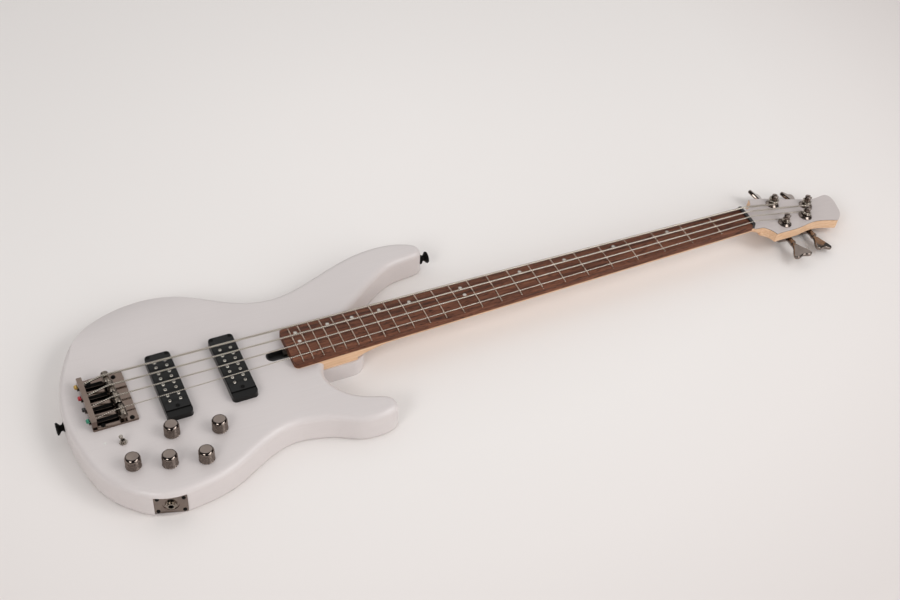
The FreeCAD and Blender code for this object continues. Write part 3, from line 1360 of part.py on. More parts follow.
def make_toggle(ceiling):
    """Small toggle switch: case and bush with its nut, and the lever that tips in the bush."""
    place = on_body(TOGGLE_SHARES)
    bush = new_body("toggle_bush")
    mouth = TOP + S.toggle_bush_proud
    pivot = mouth - S.toggle_ball_radius * 1.2
    bore, wide = S.toggle_ball_radius + S.running_gap, S.toggle_mouth_radius
    deep = pivot - S.toggle_ball_radius - S.clear_gap
    turned(bush, [(0, ceiling), (S.toggle_bush_radius, ceiling), (S.toggle_bush_radius, mouth), (wide, mouth),
                  (bore, pivot + S.clear_gap), (bore, deep), (0, deep)])
    bush.Placement = at(place.x, place.y, 0)
    corner = Vector(place.x - S.toggle_case_width / 2, place.y - S.toggle_case_length / 2,
                    ceiling - S.toggle_case_depth)
    case = block("toggle_case", "Sizes.toggle_case_width", "Sizes.toggle_case_length",
                 "Sizes.toggle_case_depth", corner)
    nut = hex_nut("toggle_nut", S.toggle_nut_radius, S.toggle_bush_radius + S.running_gap,
                  "Sizes.toggle_nut_height")
    nut.Placement = at(place.x, place.y, TOP)
    node(gather("toggle_set", [join("toggle_frame", [bush, case]), nut]), "toggle_switch")
    lever = new_body("lever")
    ball, thin, tip = S.toggle_ball_radius, S.toggle_lever_radius, S.toggle_tip_radius
    length = S.toggle_length
    arc = [(ball * math.cos(math.radians(angle)), ball * math.sin(math.radians(angle)))
           for angle in (-90, -60, -30, 0, 30, 52)]
    stick = [(thin, length * 0.3), (tip, length * 0.85), (tip, length * 0.95), (tip * 0.6, length), (0, length)]
    turned(lever, [(0, arc[0][1])] + arc[1:] + stick)
    lever.Placement = Placement(Vector(place.x, place.y, pivot), Rotation(ACROSS, -S.toggle_lean))
    node(lever, "toggle_lever")


def make_jack():
    """Jack plate on the body's side, the socket behind it and its screws."""
    place = Placement(JACK_PLACE, JACK_TURN)
    plate = new_body("side_plate")
    half_length, half_height = S.jack_plate_length / 2, S.jack_plate_height / 2
    outline = box_outline(-half_length, half_length, -half_height, half_height, S.jack_plate_corner)
    pad(plate, sketch(plate, outline), "Sizes.jack_plate_thickness")
    reach_x, reach_y = half_length - S.jack_screw_inset, half_height - S.jack_screw_inset
    holes = [circle(side * reach_x, level * reach_y, S.cover_screw_radius + S.fit_gap)
             for side in (1, -1) for level in (1, -1)]
    holes.append(circle(0, 0, S.jack_bush_radius + S.fit_gap))
    pocket(plate, sketch(plate, holes), "Sizes.jack_plate_thickness", up=True)
    dish = sketch(plate, [circle(0, 0, S.jack_dish_radius)], base=Vector(0, 0, S.jack_plate_thickness))
    pocket(plate, dish, "Sizes.jack_dish_depth")
    plate.Placement = place
    node(plate, "jack_plate")
    socket = new_body("socket")
    outer = S.jack_plate_thickness + S.jack_bush_proud
    deep = -S.jack_barrel_length
    chamber = S.plug_radius + S.jack_contact_room
    barrel, bush = S.jack_barrel_radius, S.jack_bush_radius
    turned(socket, [(0, deep), (barrel, deep), (barrel, 0), (bush, 0), (bush, outer),
                    (S.plug_radius, outer), (S.plug_radius, S.clear_gap),
                    (chamber, S.clear_gap), (chamber, deep * 0.9), (0, deep * 0.9)])
    socket.Placement = place
    nut = hex_nut("jack_nut", S.jack_nut_radius, S.jack_bush_radius + S.running_gap, "Sizes.jack_nut_height")
    nut.Placement = place.multiply(at(0, 0, S.jack_plate_thickness - S.jack_dish_depth))
    node(gather("jack_set", [socket, nut]), "jack_socket")
    screw = small_screw("jack_screw", S.cover_screw_radius - S.running_gap, S.cover_screw_length - S.fit_gap,
                        S.jack_plate_thickness)
    places = [Placement(spot, JACK_TURN) for spot in jack_screw_places()]
    node(copies("jack_screw_set", screw, places), "jack_screws")


def small_screw(name, radius, depth, seat):
    """Domed screw whose head lies on a plate as thick as its seat."""
    body = new_body(name)
    head, height = radius * 2, radius * 1.1
    turned(body, [(0, -depth), (radius, -depth * 0.9), (radius, seat), (head, seat),
                  (head * 0.85, seat + height * 0.6), (head * 0.5, seat + height), (0, seat + height)])
    return body


# Electronics

def make_electronics():
    """Preamp board, batteries in a box with a hinged lid, and the control cavity's cover."""
    place = on_body(BOARD_SHARES)
    low_x, low_y = place.x - S.circuit_length / 2, place.y - S.circuit_width / 2
    board = block("circuit", "Sizes.circuit_length", "Sizes.circuit_width", "Sizes.circuit_thickness",
                  Vector(low_x, low_y, S.circuit_lift))
    chips = [block("chip", "Sizes.circuit_length / 5", "Sizes.circuit_width / 3", "Sizes.chip_height",
                   Vector(low_x + share * S.circuit_length, low_y + S.circuit_width / 3,
                          S.circuit_lift + S.circuit_thickness)) for share in (0.1, 0.4, 0.7)]
    posts = [cylinder("circuit_post", "Sizes.circuit_post_radius",
                      "Sizes.circuit_lift - Sizes.cover_thickness",
                      Vector(place.x + side * S.circuit_length / 3, place.y, S.cover_thickness))
             for side in (1, -1)]
    node(join("preamp", [board] + chips + posts), "preamp_board")
    lid_top = S.battery_lid_thickness
    box = new_body("box")
    outer = battery_outline(0, 0, S.battery_box_wall)
    pad(box, sketch(box, outer, base=Vector(0, 0, lid_top)), "%.6f" % (BOX_DEPTH - lid_top))
    inner = battery_outline(-S.battery_box_wall, 0, S.fit_gap)
    pocket(box, sketch(box, inner, base=Vector(0, 0, lid_top)),
           "Sizes.battery_depth + 2 * Sizes.fit_gap", up=True)
    node(box, "battery_box")
    cell = block("cell", "Sizes.battery_width", "Sizes.battery_length", "Sizes.battery_depth")
    level = lid_top + S.fit_gap
    places = [at(BATTERY.x + side, BATTERY.y - S.battery_length / 2, level)
              for side in (-S.battery_width - S.running_gap, S.running_gap)]
    node(copies("cells", cell, places), "batteries")
    make_lid(lid_top)
    cover = new_body("cavity_cover")
    pad(cover, sketch(cover, cavity_outline(S.cover_lip)), "Sizes.cover_thickness")
    holes = [circle(spot.x, spot.y, S.cover_screw_radius + S.fit_gap) for spot in cover_screw_places()]
    pocket(cover, sketch(cover, holes), "Sizes.cover_thickness", up=True)
    sinks = [circle(spot.x, spot.y, S.cover_screw_radius * 2 + S.fit_gap) for spot in cover_screw_places()]
    pocket(cover, sketch(cover, sinks), "Sizes.cover_thickness * 0.6", up=True)
    node(cover, "control_cover")
    screw = new_body("cover_screw")
    thin, wide, seat = S.cover_screw_radius - S.running_gap, S.cover_screw_radius * 2, S.cover_thickness * 0.6
    deep = S.cover_screw_length - S.fit_gap
    flush = S.running_gap
    turned(screw, [(0, flush), (wide, flush), (wide, seat), (thin, seat), (thin, deep), (0, deep)])
    places = [at(spot.x, spot.y) for spot in cover_screw_places()]
    node(copies("cover_screw_set", screw, places), "cover_screws")


def make_lid(thickness):
    """Battery lid that swings on two small pins, round along its hinge side."""
    axis = lid_axis()
    lid = new_body("lid")
    free_end = BATTERY.x - BOX_LENGTH / 2 - S.battery_rim
    radius = thickness / 2 - S.running_gap
    low, high = axis.z - radius, axis.z + radius
    side = [Part.Arc(Vector(axis.x, low, 0), Vector(axis.x + radius, axis.z, 0), Vector(axis.x, high, 0)),
            Part.LineSegment(Vector(axis.x, high, 0), Vector(free_end, high, 0)),
            Part.LineSegment(Vector(free_end, high, 0), Vector(free_end, low, 0)),
            Part.LineSegment(Vector(free_end, low, 0), Vector(axis.x, low, 0))]
    pad(lid, sketch(lid, side, "XZ_Plane", Vector(0, 0, -axis.y - BOX_WIDTH / 2)), "%.6f" % BOX_WIDTH)
    pin = cylinder("lid_pin", "Sizes.lid_pin_radius", "%.6f" % (BOX_WIDTH + 2 * S.lid_pin_length),
                   axis - ACROSS * (BOX_WIDTH / 2 + S.lid_pin_length), ACROSS)
    node(join("lid_set", [lid, pin]), "battery_lid")


def make_strap_buttons():
    """Two strap buttons and the screws that hold them."""
    button = new_body("button")
    length, bore, head = S.strap_length, S.strap_screw_radius + S.fit_gap, S.strap_head_radius
    sink = S.strap_screw_head + S.fit_gap
    flange = S.strap_flange
    turned(button, [(bore, 0), (S.strap_base_radius, 0), (S.strap_base_radius, flange),
                    (S.strap_waist_radius, length * 0.38), (S.strap_waist_radius, length * 0.55),
                    (head * 0.9, length - flange * 1.6), (head, length - flange),
                    (head * 0.93, length), (sink, length), (sink, length - flange * 1.5),
                    (bore, length - flange * 1.5)])
    places = [Placement(STRAP_TAIL, Rotation(UP, -ALONG)), Placement(STRAP_HORN, Rotation(UP, ALONG))]
    node(copies("buttons", button, places), "strap_buttons")
    screw = new_body("strap_screw")
    seat, thin = length - flange * 1.5, S.strap_screw_radius - S.running_gap
    deep = -S.strap_screw_length + S.fit_gap
    turned(screw, [(0, deep), (thin, deep * 0.9), (thin, seat), (S.strap_screw_head, seat),
                   (S.strap_screw_head, seat + flange), (S.strap_screw_head * 0.5, seat + flange * 1.6),
                   (0, seat + flange * 1.6)])
    node(copies("strap_screw_set", screw, places), "strap_screws")


# Tuning machines

def machine_place(name):
    """Frame of a tuning machine: on the headstock's face, its second axis pointing outwards."""
    turn = Rotation(UP, 0 if STRING_SHARES[name] > 0 else 180)
    return HEAD_FRAME.multiply(Placement(on_head(POST_SHARES[name]), turn))


def make_machines():
    """Four tuning machines: winged key on a worm, wheel on the string post, housing and bushing."""
    back = -S.headstock_thickness
    bushing = new_body("bushing")
    bore = S.post_journal_radius + S.running_gap
    wide, high = S.bushing_radius, S.bushing_height
    turned(bushing, [(bore, back), (S.sleeve_radius, back), (S.sleeve_radius, 0), (wide, 0),
                     (wide * 0.97, high * 0.3), (S.bushing_lip_radius, high), (bore, high)])
    places = {name: machine_place(name) for name in STRING_NAMES}
    node(copies("bushings", bushing, places.values()), "tuner_bushings")
    level = back - S.key_level
    housings = []
    for name in STRING_NAMES:
        side = math.copysign(1, STRING_SHARES[name])
        offset = side * S.key_offset
        make_post(name, places[name], level)
        make_key(name, places[name], level, offset)
        housings.append(make_housing(places[name], level, offset, side))
    node(gather("housings", housings), "tuner_housings")


def make_post(name, place, level):
    """String post with a flared, slotted head and the worm wheel at its foot."""
    body = new_body("post")
    half = S.wheel_height / 2
    foot = level - half
    neck = S.post_height - S.post_head_height
    head, edge = S.post_head_radius, S.fit_gap
    turned(body, [(0, foot), (S.wheel_radius, foot), (S.wheel_radius, level + half),
                  (S.post_stem_radius, level + half), (S.post_stem_radius, -S.headstock_thickness),
                  (S.post_journal_radius, -S.headstock_thickness + S.fit_gap),
                  (S.post_journal_radius, S.bushing_height), (S.post_radius, S.bushing_height + S.fit_gap),
                  (S.post_radius, neck), (head, neck + S.post_head_height * 0.6),
                  (head, S.post_height - edge), (head - edge, S.post_height), (0, S.post_height)])
    half_slot, reach = S.post_slot / 2, S.post_head_radius * 2
    slot = box_outline(-reach, reach, -half_slot, half_slot, 0.0)
    pocket(body, sketch(body, slot, base=Vector(0, 0, S.post_height)), "Sizes.post_slot_depth")
    body.Placement = place
    node(body, "tuner_post_" + name)


def make_key(name, place, level, offset):
    """Key: worm shaft, sleeve, ring and the winged button."""
    stem = new_body("key_stem")
    inner = S.fit_gap - S.housing_width / 2
    start, sleeve = S.housing_width / 2 + S.fit_gap, S.key_sleeve_radius
    end = S.button_start + S.button_length * 0.5
    turned(stem, [(0, inner), (S.worm_radius, inner), (S.worm_radius, start), (sleeve, start),
                  (sleeve, S.key_sleeve_end), (S.key_ring_radius, S.key_sleeve_end),
                  (S.key_ring_radius, S.key_ring_end), (S.key_neck_radius, S.key_ring_end),
                  (S.key_neck_radius, end), (0, end)])
    wing = new_body("key_wing")
    length, wide = S.button_length, S.button_half_width
    root = S.button_root_half_width
    outline = [Vector(root, S.button_start, 0)]
    outline += [Vector(across * wide, S.button_start + along * length, 0) for along, across in BUTTON_SHARES]
    notch = Vector(0, S.button_start + length * BUTTON_NOTCH_SHARE, 0)
    mirrored = [Vector(-point.x, point.y, 0) for point in reversed(outline)]
    curve = spline(outline + [notch] + mirrored)
    lid = Part.LineSegment(mirrored[-1], outline[0])
    drawing = sketch(wing, [curve, lid], "XZ_Plane", Vector(0, 0, -S.button_thickness / 2))
    raised = pad(wing, drawing, "Sizes.button_thickness")
    rim = ["Edge%d" % (index + 1) for index, edge in enumerate(wing.Shape.Edges)
           if edge.BoundBox.YMax - edge.BoundBox.YMin < S.running_gap]
    rounding = wing.newObject("PartDesign::Fillet", "Rounding")
    rounding.Base = (raised, rim)
    bind(rounding, Radius="Sizes.button_thickness * 0.36")
    whole = join("key_whole", [stem, wing])
    turn = Rotation(ACROSS, math.copysign(1, offset) * KEY_TURNS[name])
    outward = Rotation(ALONG, -90)
    whole.Placement = place.multiply(at(offset, 0, level, turn.multiply(outward)))
    node(whole, "tuner_key_" + name)


def make_housing(place, level, offset, side):
    """Housing on the headstock's back, hollow for wheel and worm."""
    body = new_body("housing")
    low, high = sorted((-side * S.housing_back, side * (S.housing_length - S.housing_back)))
    half = S.housing_width / 2
    back = -S.headstock_thickness
    outline = box_outline(low, high, -half, half, S.housing_corner)
    pad(body, sketch(body, outline, base=Vector(0, 0, back)), "Sizes.housing_height", down=True)
    wall = S.housing_wall
    inner = box_outline(low + wall, high - wall, -half + wall * 2, half - wall, S.housing_corner - wall)
    pocket(body, sketch(body, inner, base=Vector(0, 0, back)), "Sizes.housing_height - Sizes.housing_wall")
    body.Placement = place
    hole = cylinder("worm_hole", "Sizes.worm_radius + Sizes.running_gap", "Sizes.housing_width")
    hole.Placement = place.multiply(at(offset, S.fit_gap / 2 - half, level, Rotation(UP, ACROSS)))
    return cut("housing_solid", body, [hole])


make_body()
make_neck()
make_headstock_face()
make_fingerboard()
make_nut()
make_truss_rod()
make_neck_bolts()
make_strings()
make_bridge()
make_pickups()
make_controls()
make_jack()
make_electronics()
make_strap_buttons()
make_machines()


# Export

doc.recompute()
for item in doc.Objects:
    if "Invalid" in item.State or "Error" in item.State:
        raise RuntimeError("%s failed: %s" % (item.Label, item.State))
for item in NODES:
    if item.Shape.isNull() or not item.Shape.isValid() or not item.Shape.Solids:
        raise RuntimeError("%s has no valid solid" % item.Label)
os.makedirs("parts", exist_ok=True)
for item in NODES:
    item.Shape.exportStep("parts/%s.step" % item.Label)
    print("%s: %d solids, %.0f cubic mm" % (item.Label, len(item.Shape.Solids), item.Shape.Volume))
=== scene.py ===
"""Looks of a four-string electric bass guitar that lies on its back on a pale floor.

Lengths are metres in the frame's own axes: x along the neck, y towards the low string, z out of the top.
"""
import json
import math

import bpy
import numpy as np
from mathutils import Matrix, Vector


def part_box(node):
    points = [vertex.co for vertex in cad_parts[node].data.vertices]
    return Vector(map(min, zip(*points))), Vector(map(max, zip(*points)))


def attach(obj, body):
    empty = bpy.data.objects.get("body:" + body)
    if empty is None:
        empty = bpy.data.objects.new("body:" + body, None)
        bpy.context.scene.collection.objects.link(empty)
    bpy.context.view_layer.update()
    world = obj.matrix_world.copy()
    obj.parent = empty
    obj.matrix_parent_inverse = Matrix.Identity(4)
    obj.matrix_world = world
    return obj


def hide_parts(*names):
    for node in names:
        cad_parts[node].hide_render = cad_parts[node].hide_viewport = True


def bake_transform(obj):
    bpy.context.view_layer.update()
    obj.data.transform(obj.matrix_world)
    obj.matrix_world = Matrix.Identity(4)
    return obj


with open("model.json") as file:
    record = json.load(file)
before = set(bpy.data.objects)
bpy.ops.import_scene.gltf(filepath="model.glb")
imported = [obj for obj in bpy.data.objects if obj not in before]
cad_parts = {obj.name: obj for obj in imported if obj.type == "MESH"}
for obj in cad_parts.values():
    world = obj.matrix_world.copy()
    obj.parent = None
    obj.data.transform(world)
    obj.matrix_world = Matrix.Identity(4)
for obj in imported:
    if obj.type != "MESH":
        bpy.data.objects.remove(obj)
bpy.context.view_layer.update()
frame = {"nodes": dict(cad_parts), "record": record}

MM = 0.001
NODES = frame["nodes"]
ROOT = "instrument"
SHARP_ANGLE = math.radians(40)  # an edge that turns by more than this is shaded as an edge

# Sizes in the finishes

WAVE_REPEAT = math.pi / 10  # a wave texture repeats after this much of its scaled coordinate
GRAIN_RELIEF = 0.3 * MM
GRIT_RELIEF = 0.1 * MM
PAINT_DEPTH, VENEER_DEPTH = 0.15 * MM, 0.30 * MM  # where the headstock's paint ends and its veneer begins
# the black that begins at the second depth also lines each pole's hex socket, as painted shade in the recess
GROUND_DEPTH, BLACK_DEPTH = 0.35 * MM, 0.50 * MM  # where a pole's ground top ends and its black side begins
WOUND_TURN = 2.5 * MM  # coarser than real, so that the winding shows
WOUND_SLANT = 0.8
BALL_SPREAD = 38 * MM  # the ball ends' colours are shared out over this much each side of the middle

# Sizes of the knobs and the toggle

KNOB_FOOT = 0.6 * MM  # gap under a knob
KNOB_RING = 1.0 * MM  # plain ring below the knurl
KNOB_LIP = 0.3 * MM
KNOB_ROWS, KNOB_ANGLES = 72, 288  # fine enough for the knurl
KNOB_SHOULDER, KNOB_REACH = 3.2 * MM, 3.8 * MM  # height and width of the rounded shoulder
SHOULDER_START, SHOULDER_STEPS = 0.35, 21  # angle on its ellipse where the shoulder begins
KNURL_RIDGES = 24  # coarser than real, so that the knurl shows
KNURL_LEAD = 54 * MM
KNURL_DEPTH = 0.8 * MM
TOGGLE_LEAN = math.radians(-12)  # the lever's lean at rest
TOGGLE_BALL = 1.8 * MM
TOGGLE_BALL_TOP, TOGGLE_BALL_STEPS = 50, 12  # degrees from the ball's middle up to the stem
TOGGLE_STEM_R = np.array([1.1, 1.3, 2.3, 2.5, 2.5, 2.2, 0]) * MM
TOGGLE_STEM_Z = np.array([2.4, 3.2, 7.6, 8.2, 9.3, 9.6, 9.6]) * MM
TOGGLE_ANGLES = 40

# Sizes of the springs and the pole pieces

WALL_DEPTH = 6.6 * MM  # bridge wall, front to back
SPRING_GAP = 0.3 * MM
SPRING_PLAY = 0.6 * MM
SPRING_RADIUS = 2.2 * MM
SPRING_WIRE = 0.45 * MM
SPRING_PITCH = 1.25 * MM
SPRING_STEPS, SPRING_SIDES = 24, 8  # steps to a turn, and sides round the wire
POLE_SPLIT = 0.6 * MM
POLE_REACH = 4 * MM
POLE_BEVEL = 0.35 * MM
POLE_SIDES = 48
SOCKET_FLAT = 1.05 * MM
SOCKET_DEPTH = 1.6 * MM

# Sizes of the frets, and of the fingerboard's edge with the shade painted below it

BOARD_RADIUS = 254 * MM  # curve of the fingerboard's face
NUT_REACH = 3 * MM
FRET_SPLIT = 3 * MM
FRET_HEIGHT = 1.1 * MM
FRET_HALF_WIDTH = 0.75 * MM
FRET_ROWS, FRET_SIDES = 33, 16
FRET_BEVEL, FRET_TIP = 0.05, 0.3  # share of half a fret that is bevelled, and of its height left at the end
# below the board's underside the rosewood strip is painted shade on the neck's side
SKIRT_DROP = 2.8 * MM  # how far the rosewood reaches below the board's underside
SKIRT_LAP = 0.3 * MM
SKIRT_PROUD = 0.08 * MM
SKIRT_SUNK = 1.5 * MM
SKIRT_CORNER, SKIRT_STEPS = 6 * MM, 13  # radius of the heel's corners, and steps round one

# Sizes of the stage

FLOOR_HALF = 30.0
FLOOR_LEVEL = -0.2 * MM  # just under the body's back, so that the two never share a plane
# the floor's painted shade for the light's falloff grows with distance from this point
FLOOR_MIDDLE = (0.46, 0.42, 0)  # where the floor is palest


# Small helpers

def linear(code):
    """Linear RGBA of an sRGB hex colour."""
    parts = np.array([int(code[i:i + 2], 16) for i in (1, 3, 5)]) / 255
    parts = np.where(parts <= 0.04045, parts / 12.92, ((parts + 0.055) / 1.055) ** 2.4)
    return (*parts.tolist(), 1.0)


def add(tree, kind, links=None, values=None, stops=(), **settings):
    """Add a node with its settings, its input values, its colour stops and its links from other sockets."""
    node = tree.nodes.new(kind)
    for name, setting in settings.items():
        setattr(node, name, setting)
    for key, value in (values or {}).items():
        node.inputs[key].default_value = value
    for key, socket in (links or {}).items():
        tree.links.new(socket, node.inputs[key])
    for _ in stops[2:]:
        node.color_ramp.elements.new(1.0)
    if stops:
        for element, (place, code) in zip(node.color_ramp.elements, stops):
            element.position = place
            element.color = linear(code)
    return node


def new_material(name):
    """New material with an empty node tree, and the Object coordinates that its patterns read."""
    material = bpy.data.materials.new(name)
    material.use_nodes = True
    tree = material.node_tree
    tree.nodes.clear()
    return material, tree, add(tree, "ShaderNodeTexCoord").outputs["Object"]


def mesh_points(node):
    """Points of a CAD node's mesh."""
    mesh = NODES[node].data
    points = np.empty(len(mesh.vertices) * 3)
    mesh.vertices.foreach_get("co", points)
    return points.reshape(-1, 3)


def runs(values, gap):
    """Middles of the runs that sorted values fall into where neighbours stand further apart than gap."""
    values = np.sort(values)
    breaks = np.flatnonzero(np.diff(values) > gap)
    first = values[np.concatenate([[0], breaks + 1])]
    last = values[np.concatenate([breaks, [-1]])]
    return (first + last) / 2


def grid_piece(name, grid):
    """Mesh object from copies of a grid of points: rows along the shape, columns closed round it."""
    copies, rows, columns = grid.shape[:3]
    index = np.arange(copies * rows * columns).reshape(copies, rows, columns)
    here, there = index[:, :-1], index[:, 1:]
    quads = np.stack([here, np.roll(here, -1, 2), np.roll(there, -1, 2), there], -1)
    mesh = bpy.data.meshes.new(name)
    mesh.from_pydata(grid.reshape(-1, 3).tolist(), [], quads.reshape(-1, 4).tolist())
    mesh.polygons.foreach_set("use_smooth", np.ones(len(mesh.polygons), bool))
    mesh.set_sharp_from_angle(angle=SHARP_ANGLE)
    piece = bpy.data.objects.new(name, mesh)
    bpy.context.scene.collection.objects.link(piece)
    return piece


def revolved(name, profile_r, profile_z, centre, angles, relief=None, lean=0.0):
    """Surface of revolution: radius r(s) and height z(s) along a profile, carried round angle t.

    A point is centre + (r cos t, r sin t, z), turned about y by lean; relief(z, t) is taken off r first.
    The ends of the profile lie on the axis.
    """
    turn = np.linspace(0, 2 * np.pi, angles, endpoint=False)
    radius = np.repeat(profile_r[:, None], angles, 1)
    height = np.repeat(profile_z[:, None], angles, 1)
    if relief is not None:
        radius = radius - relief(height, turn[None, :])
    x, y = radius * np.cos(turn), radius * np.sin(turn)
    x, z = x * np.cos(lean) + height * np.sin(lean), height * np.cos(lean) - x * np.sin(lean)
    return grid_piece(name, (np.stack([x, y, z], -1) + np.array(centre))[None])


# Finishes

# A Mapping node of the TEXTURE kind divides by its scale, so that scale is the size of a pattern's features.

def lacquered_ash():
    """Ash under translucent white satin lacquer: faint grain lines along the body, soft clear gloss."""
    material, tree, coords = new_material("ash_white_lacquer")
    grain = add(tree, "ShaderNodeMapping", {"Vector": coords},
                {"Scale": (90 * MM, 2.2 * MM, 2.2 * MM), "Rotation": (0, 0, math.radians(-2))},
                vector_type="TEXTURE")
    lines = add(tree, "ShaderNodeTexNoise", {"Vector": grain.outputs[0]},
                {"Scale": 1.0, "Detail": 4.0, "Roughness": 0.6}).outputs["Fac"]
    clouds = add(tree, "ShaderNodeTexNoise", {"Vector": coords}, {"Scale": 1 / (120 * MM), "Detail": 1.0})
    mixed = add(tree, "ShaderNodeMath", {0: lines, 1: clouds.outputs["Fac"]}, operation="ADD")
    halved = add(tree, "ShaderNodeMath", {0: mixed.outputs[0]}, {1: 0.5}, operation="MULTIPLY")
    colour = add(tree, "ShaderNodeValToRGB", {"Fac": halved.outputs[0]},
                 stops=[(0.34, "#C8C0BE"), (0.50, "#CAC2C0"), (0.66, "#CCC4C2")])
    bump = add(tree, "ShaderNodeBump", {"Height": lines}, {"Strength": 0.02, "Distance": GRAIN_RELIEF})
    shader = add(tree, "ShaderNodeBsdfPrincipled",
                 {"Base Color": colour.outputs[0], "Normal": bump.outputs[0]},
                 {"Roughness": 0.42, "IOR": 1.5, "Coat Weight": 0.25, "Coat Roughness": 0.22})
    add(tree, "ShaderNodeOutputMaterial", {"Surface": shader.outputs[0]})
    return material


def oiled_maple():
    """Quarter-sawn maple, sanded and oiled: pale honey with fine streaks along the neck."""
    material, tree, coords = new_material("maple_oiled")
    grain = add(tree, "ShaderNodeMapping", {"Vector": coords}, {"Scale": (70 * MM, 1.6 * MM, 1.6 * MM)},
                vector_type="TEXTURE")
    lines = add(tree, "ShaderNodeTexNoise", {"Vector": grain.outputs[0]},
                {"Scale": 1.0, "Detail": 5.0, "Roughness": 0.65}).outputs["Fac"]
    colour = add(tree, "ShaderNodeValToRGB", {"Fac": lines},
                 stops=[(0.28, "#C69C76"), (0.50, "#D7B08D"), (0.72, "#E3C3A3")])
    bump = add(tree, "ShaderNodeBump", {"Height": lines}, {"Strength": 0.08, "Distance": GRAIN_RELIEF})
    shader = add(tree, "ShaderNodeBsdfPrincipled",
                 {"Base Color": colour.outputs[0], "Normal": bump.outputs[0]},
                 {"Roughness": 0.45, "IOR": 1.5})
    add(tree, "ShaderNodeOutputMaterial", {"Surface": shader.outputs[0]})
    return material


def painted_face():
    """Satin white paint over the headstock's face, with a trace of grain, on a dark stained veneer.

    The veneer shows as a dark line round the edge: its depth under the face is measured along the face's
    normal, which is the axis of the node's points that they spread along the least.
    """
    material, tree, coords = new_material("headstock_paint_satin")
    points = mesh_points("headstock_face")
    normal = np.linalg.svd(points - points.mean(0), full_matrices=False)[2][2]
    normal = normal * np.sign(normal[2])
    top = (points @ normal).max()
    grain = add(tree, "ShaderNodeMapping", {"Vector": coords}, {"Scale": (60 * MM, 3 * MM, 3 * MM)},
                vector_type="TEXTURE")
    lines = add(tree, "ShaderNodeTexNoise", {"Vector": grain.outputs[0]}, {"Scale": 1.0, "Detail": 3.0})
    paint = add(tree, "ShaderNodeValToRGB", {"Fac": lines.outputs["Fac"]},
                stops=[(0.30, "#B9AFAC"), (0.70, "#BDB3B0")])
    out = add(tree, "ShaderNodeVectorMath", {0: coords}, {1: normal.tolist()}, operation="DOT_PRODUCT")
    painted = add(tree, "ShaderNodeMapRange", {"Value": out.outputs["Value"]},
                  {"From Min": float(top - VENEER_DEPTH), "From Max": float(top - PAINT_DEPTH)})
    colour = add(tree, "ShaderNodeMix", {"Factor": painted.outputs[0], "B": paint.outputs[0]},
                 {"A": linear("#2A1C17")}, data_type="RGBA")
    shader = add(tree, "ShaderNodeBsdfPrincipled", {"Base Color": colour.outputs["Result"]},
                 {"Roughness": 0.38, "IOR": 1.5, "Coat Weight": 0.2, "Coat Roughness": 0.2})
    add(tree, "ShaderNodeOutputMaterial", {"Surface": shader.outputs[0]})
    return material


def oiled_rosewood():
    """Rosewood planed and oiled: reddish brown with near-black figure and short open pores along it."""
    material, tree, coords = new_material("rosewood_oiled")
    grain = add(tree, "ShaderNodeMapping", {"Vector": coords},
                {"Scale": (110 * MM, 5 * MM, 5 * MM), "Rotation": (0, 0, math.radians(-1.5))},
                vector_type="TEXTURE")
    figure = add(tree, "ShaderNodeTexNoise", {"Vector": grain.outputs[0]},
                 {"Scale": 1.0, "Detail": 6.0, "Roughness": 0.62, "Distortion": 0.6})
    short = add(tree, "ShaderNodeMapping", {"Vector": coords}, {"Scale": (9 * MM, 0.9 * MM, 0.9 * MM)},
                vector_type="TEXTURE")
    pores = add(tree, "ShaderNodeTexNoise", {"Vector": short.outputs[0]},
                {"Scale": 1.0, "Detail": 2.0}).outputs["Fac"]
    wood = add(tree, "ShaderNodeValToRGB", {"Fac": figure.outputs["Fac"]},
               stops=[(0.28, "#3A2118"), (0.45, "#5E3828"), (0.60, "#744733"), (0.76, "#895A43")])
    dark = add(tree, "ShaderNodeValToRGB", {"Fac": pores}, stops=[(0.34, "#6A5A52"), (0.44, "#FFFFFF")])
    colour = add(tree, "ShaderNodeMix", {"A": wood.outputs[0], "B": dark.outputs[0]}, {"Factor": 1.0},
                 data_type="RGBA", blend_type="MULTIPLY")
    bump = add(tree, "ShaderNodeBump", {"Height": pores}, {"Strength": 0.25, "Distance": GRAIN_RELIEF})
    shader = add(tree, "ShaderNodeBsdfPrincipled",
                 {"Base Color": colour.outputs["Result"], "Normal": bump.outputs[0]},
                 {"Roughness": 0.55, "IOR": 1.5, "Specular IOR Level": 0.25})
    add(tree, "ShaderNodeOutputMaterial", {"Surface": shader.outputs[0]})
    return material


def metal(name, dark, light, rough_low, rough_high, patch_mm=9):
    """Bare or plated metal whose tone and gloss vary in patches: a little, as handling leaves it, and, where
    the stops lie far apart as on the saddles, as painted glints and shade.
    """
    material, tree, coords = new_material(name)
    patches = add(tree, "ShaderNodeTexNoise", {"Vector": coords},
                  {"Scale": 1 / (patch_mm * MM), "Detail": 5.0, "Roughness": 0.6}).outputs["Fac"]
    colour = add(tree, "ShaderNodeValToRGB", {"Fac": patches}, stops=[(0.35, dark), (0.65, light)])
    rough = add(tree, "ShaderNodeMapRange", {"Value": patches},
                {"From Min": 0.35, "From Max": 0.65, "To Min": rough_low, "To Max": rough_high})
    shader = add(tree, "ShaderNodeBsdfPrincipled",
                 {"Base Color": colour.outputs[0], "Roughness": rough.outputs[0]}, {"Metallic": 1.0})
    add(tree, "ShaderNodeOutputMaterial", {"Surface": shader.outputs[0]})
    return material


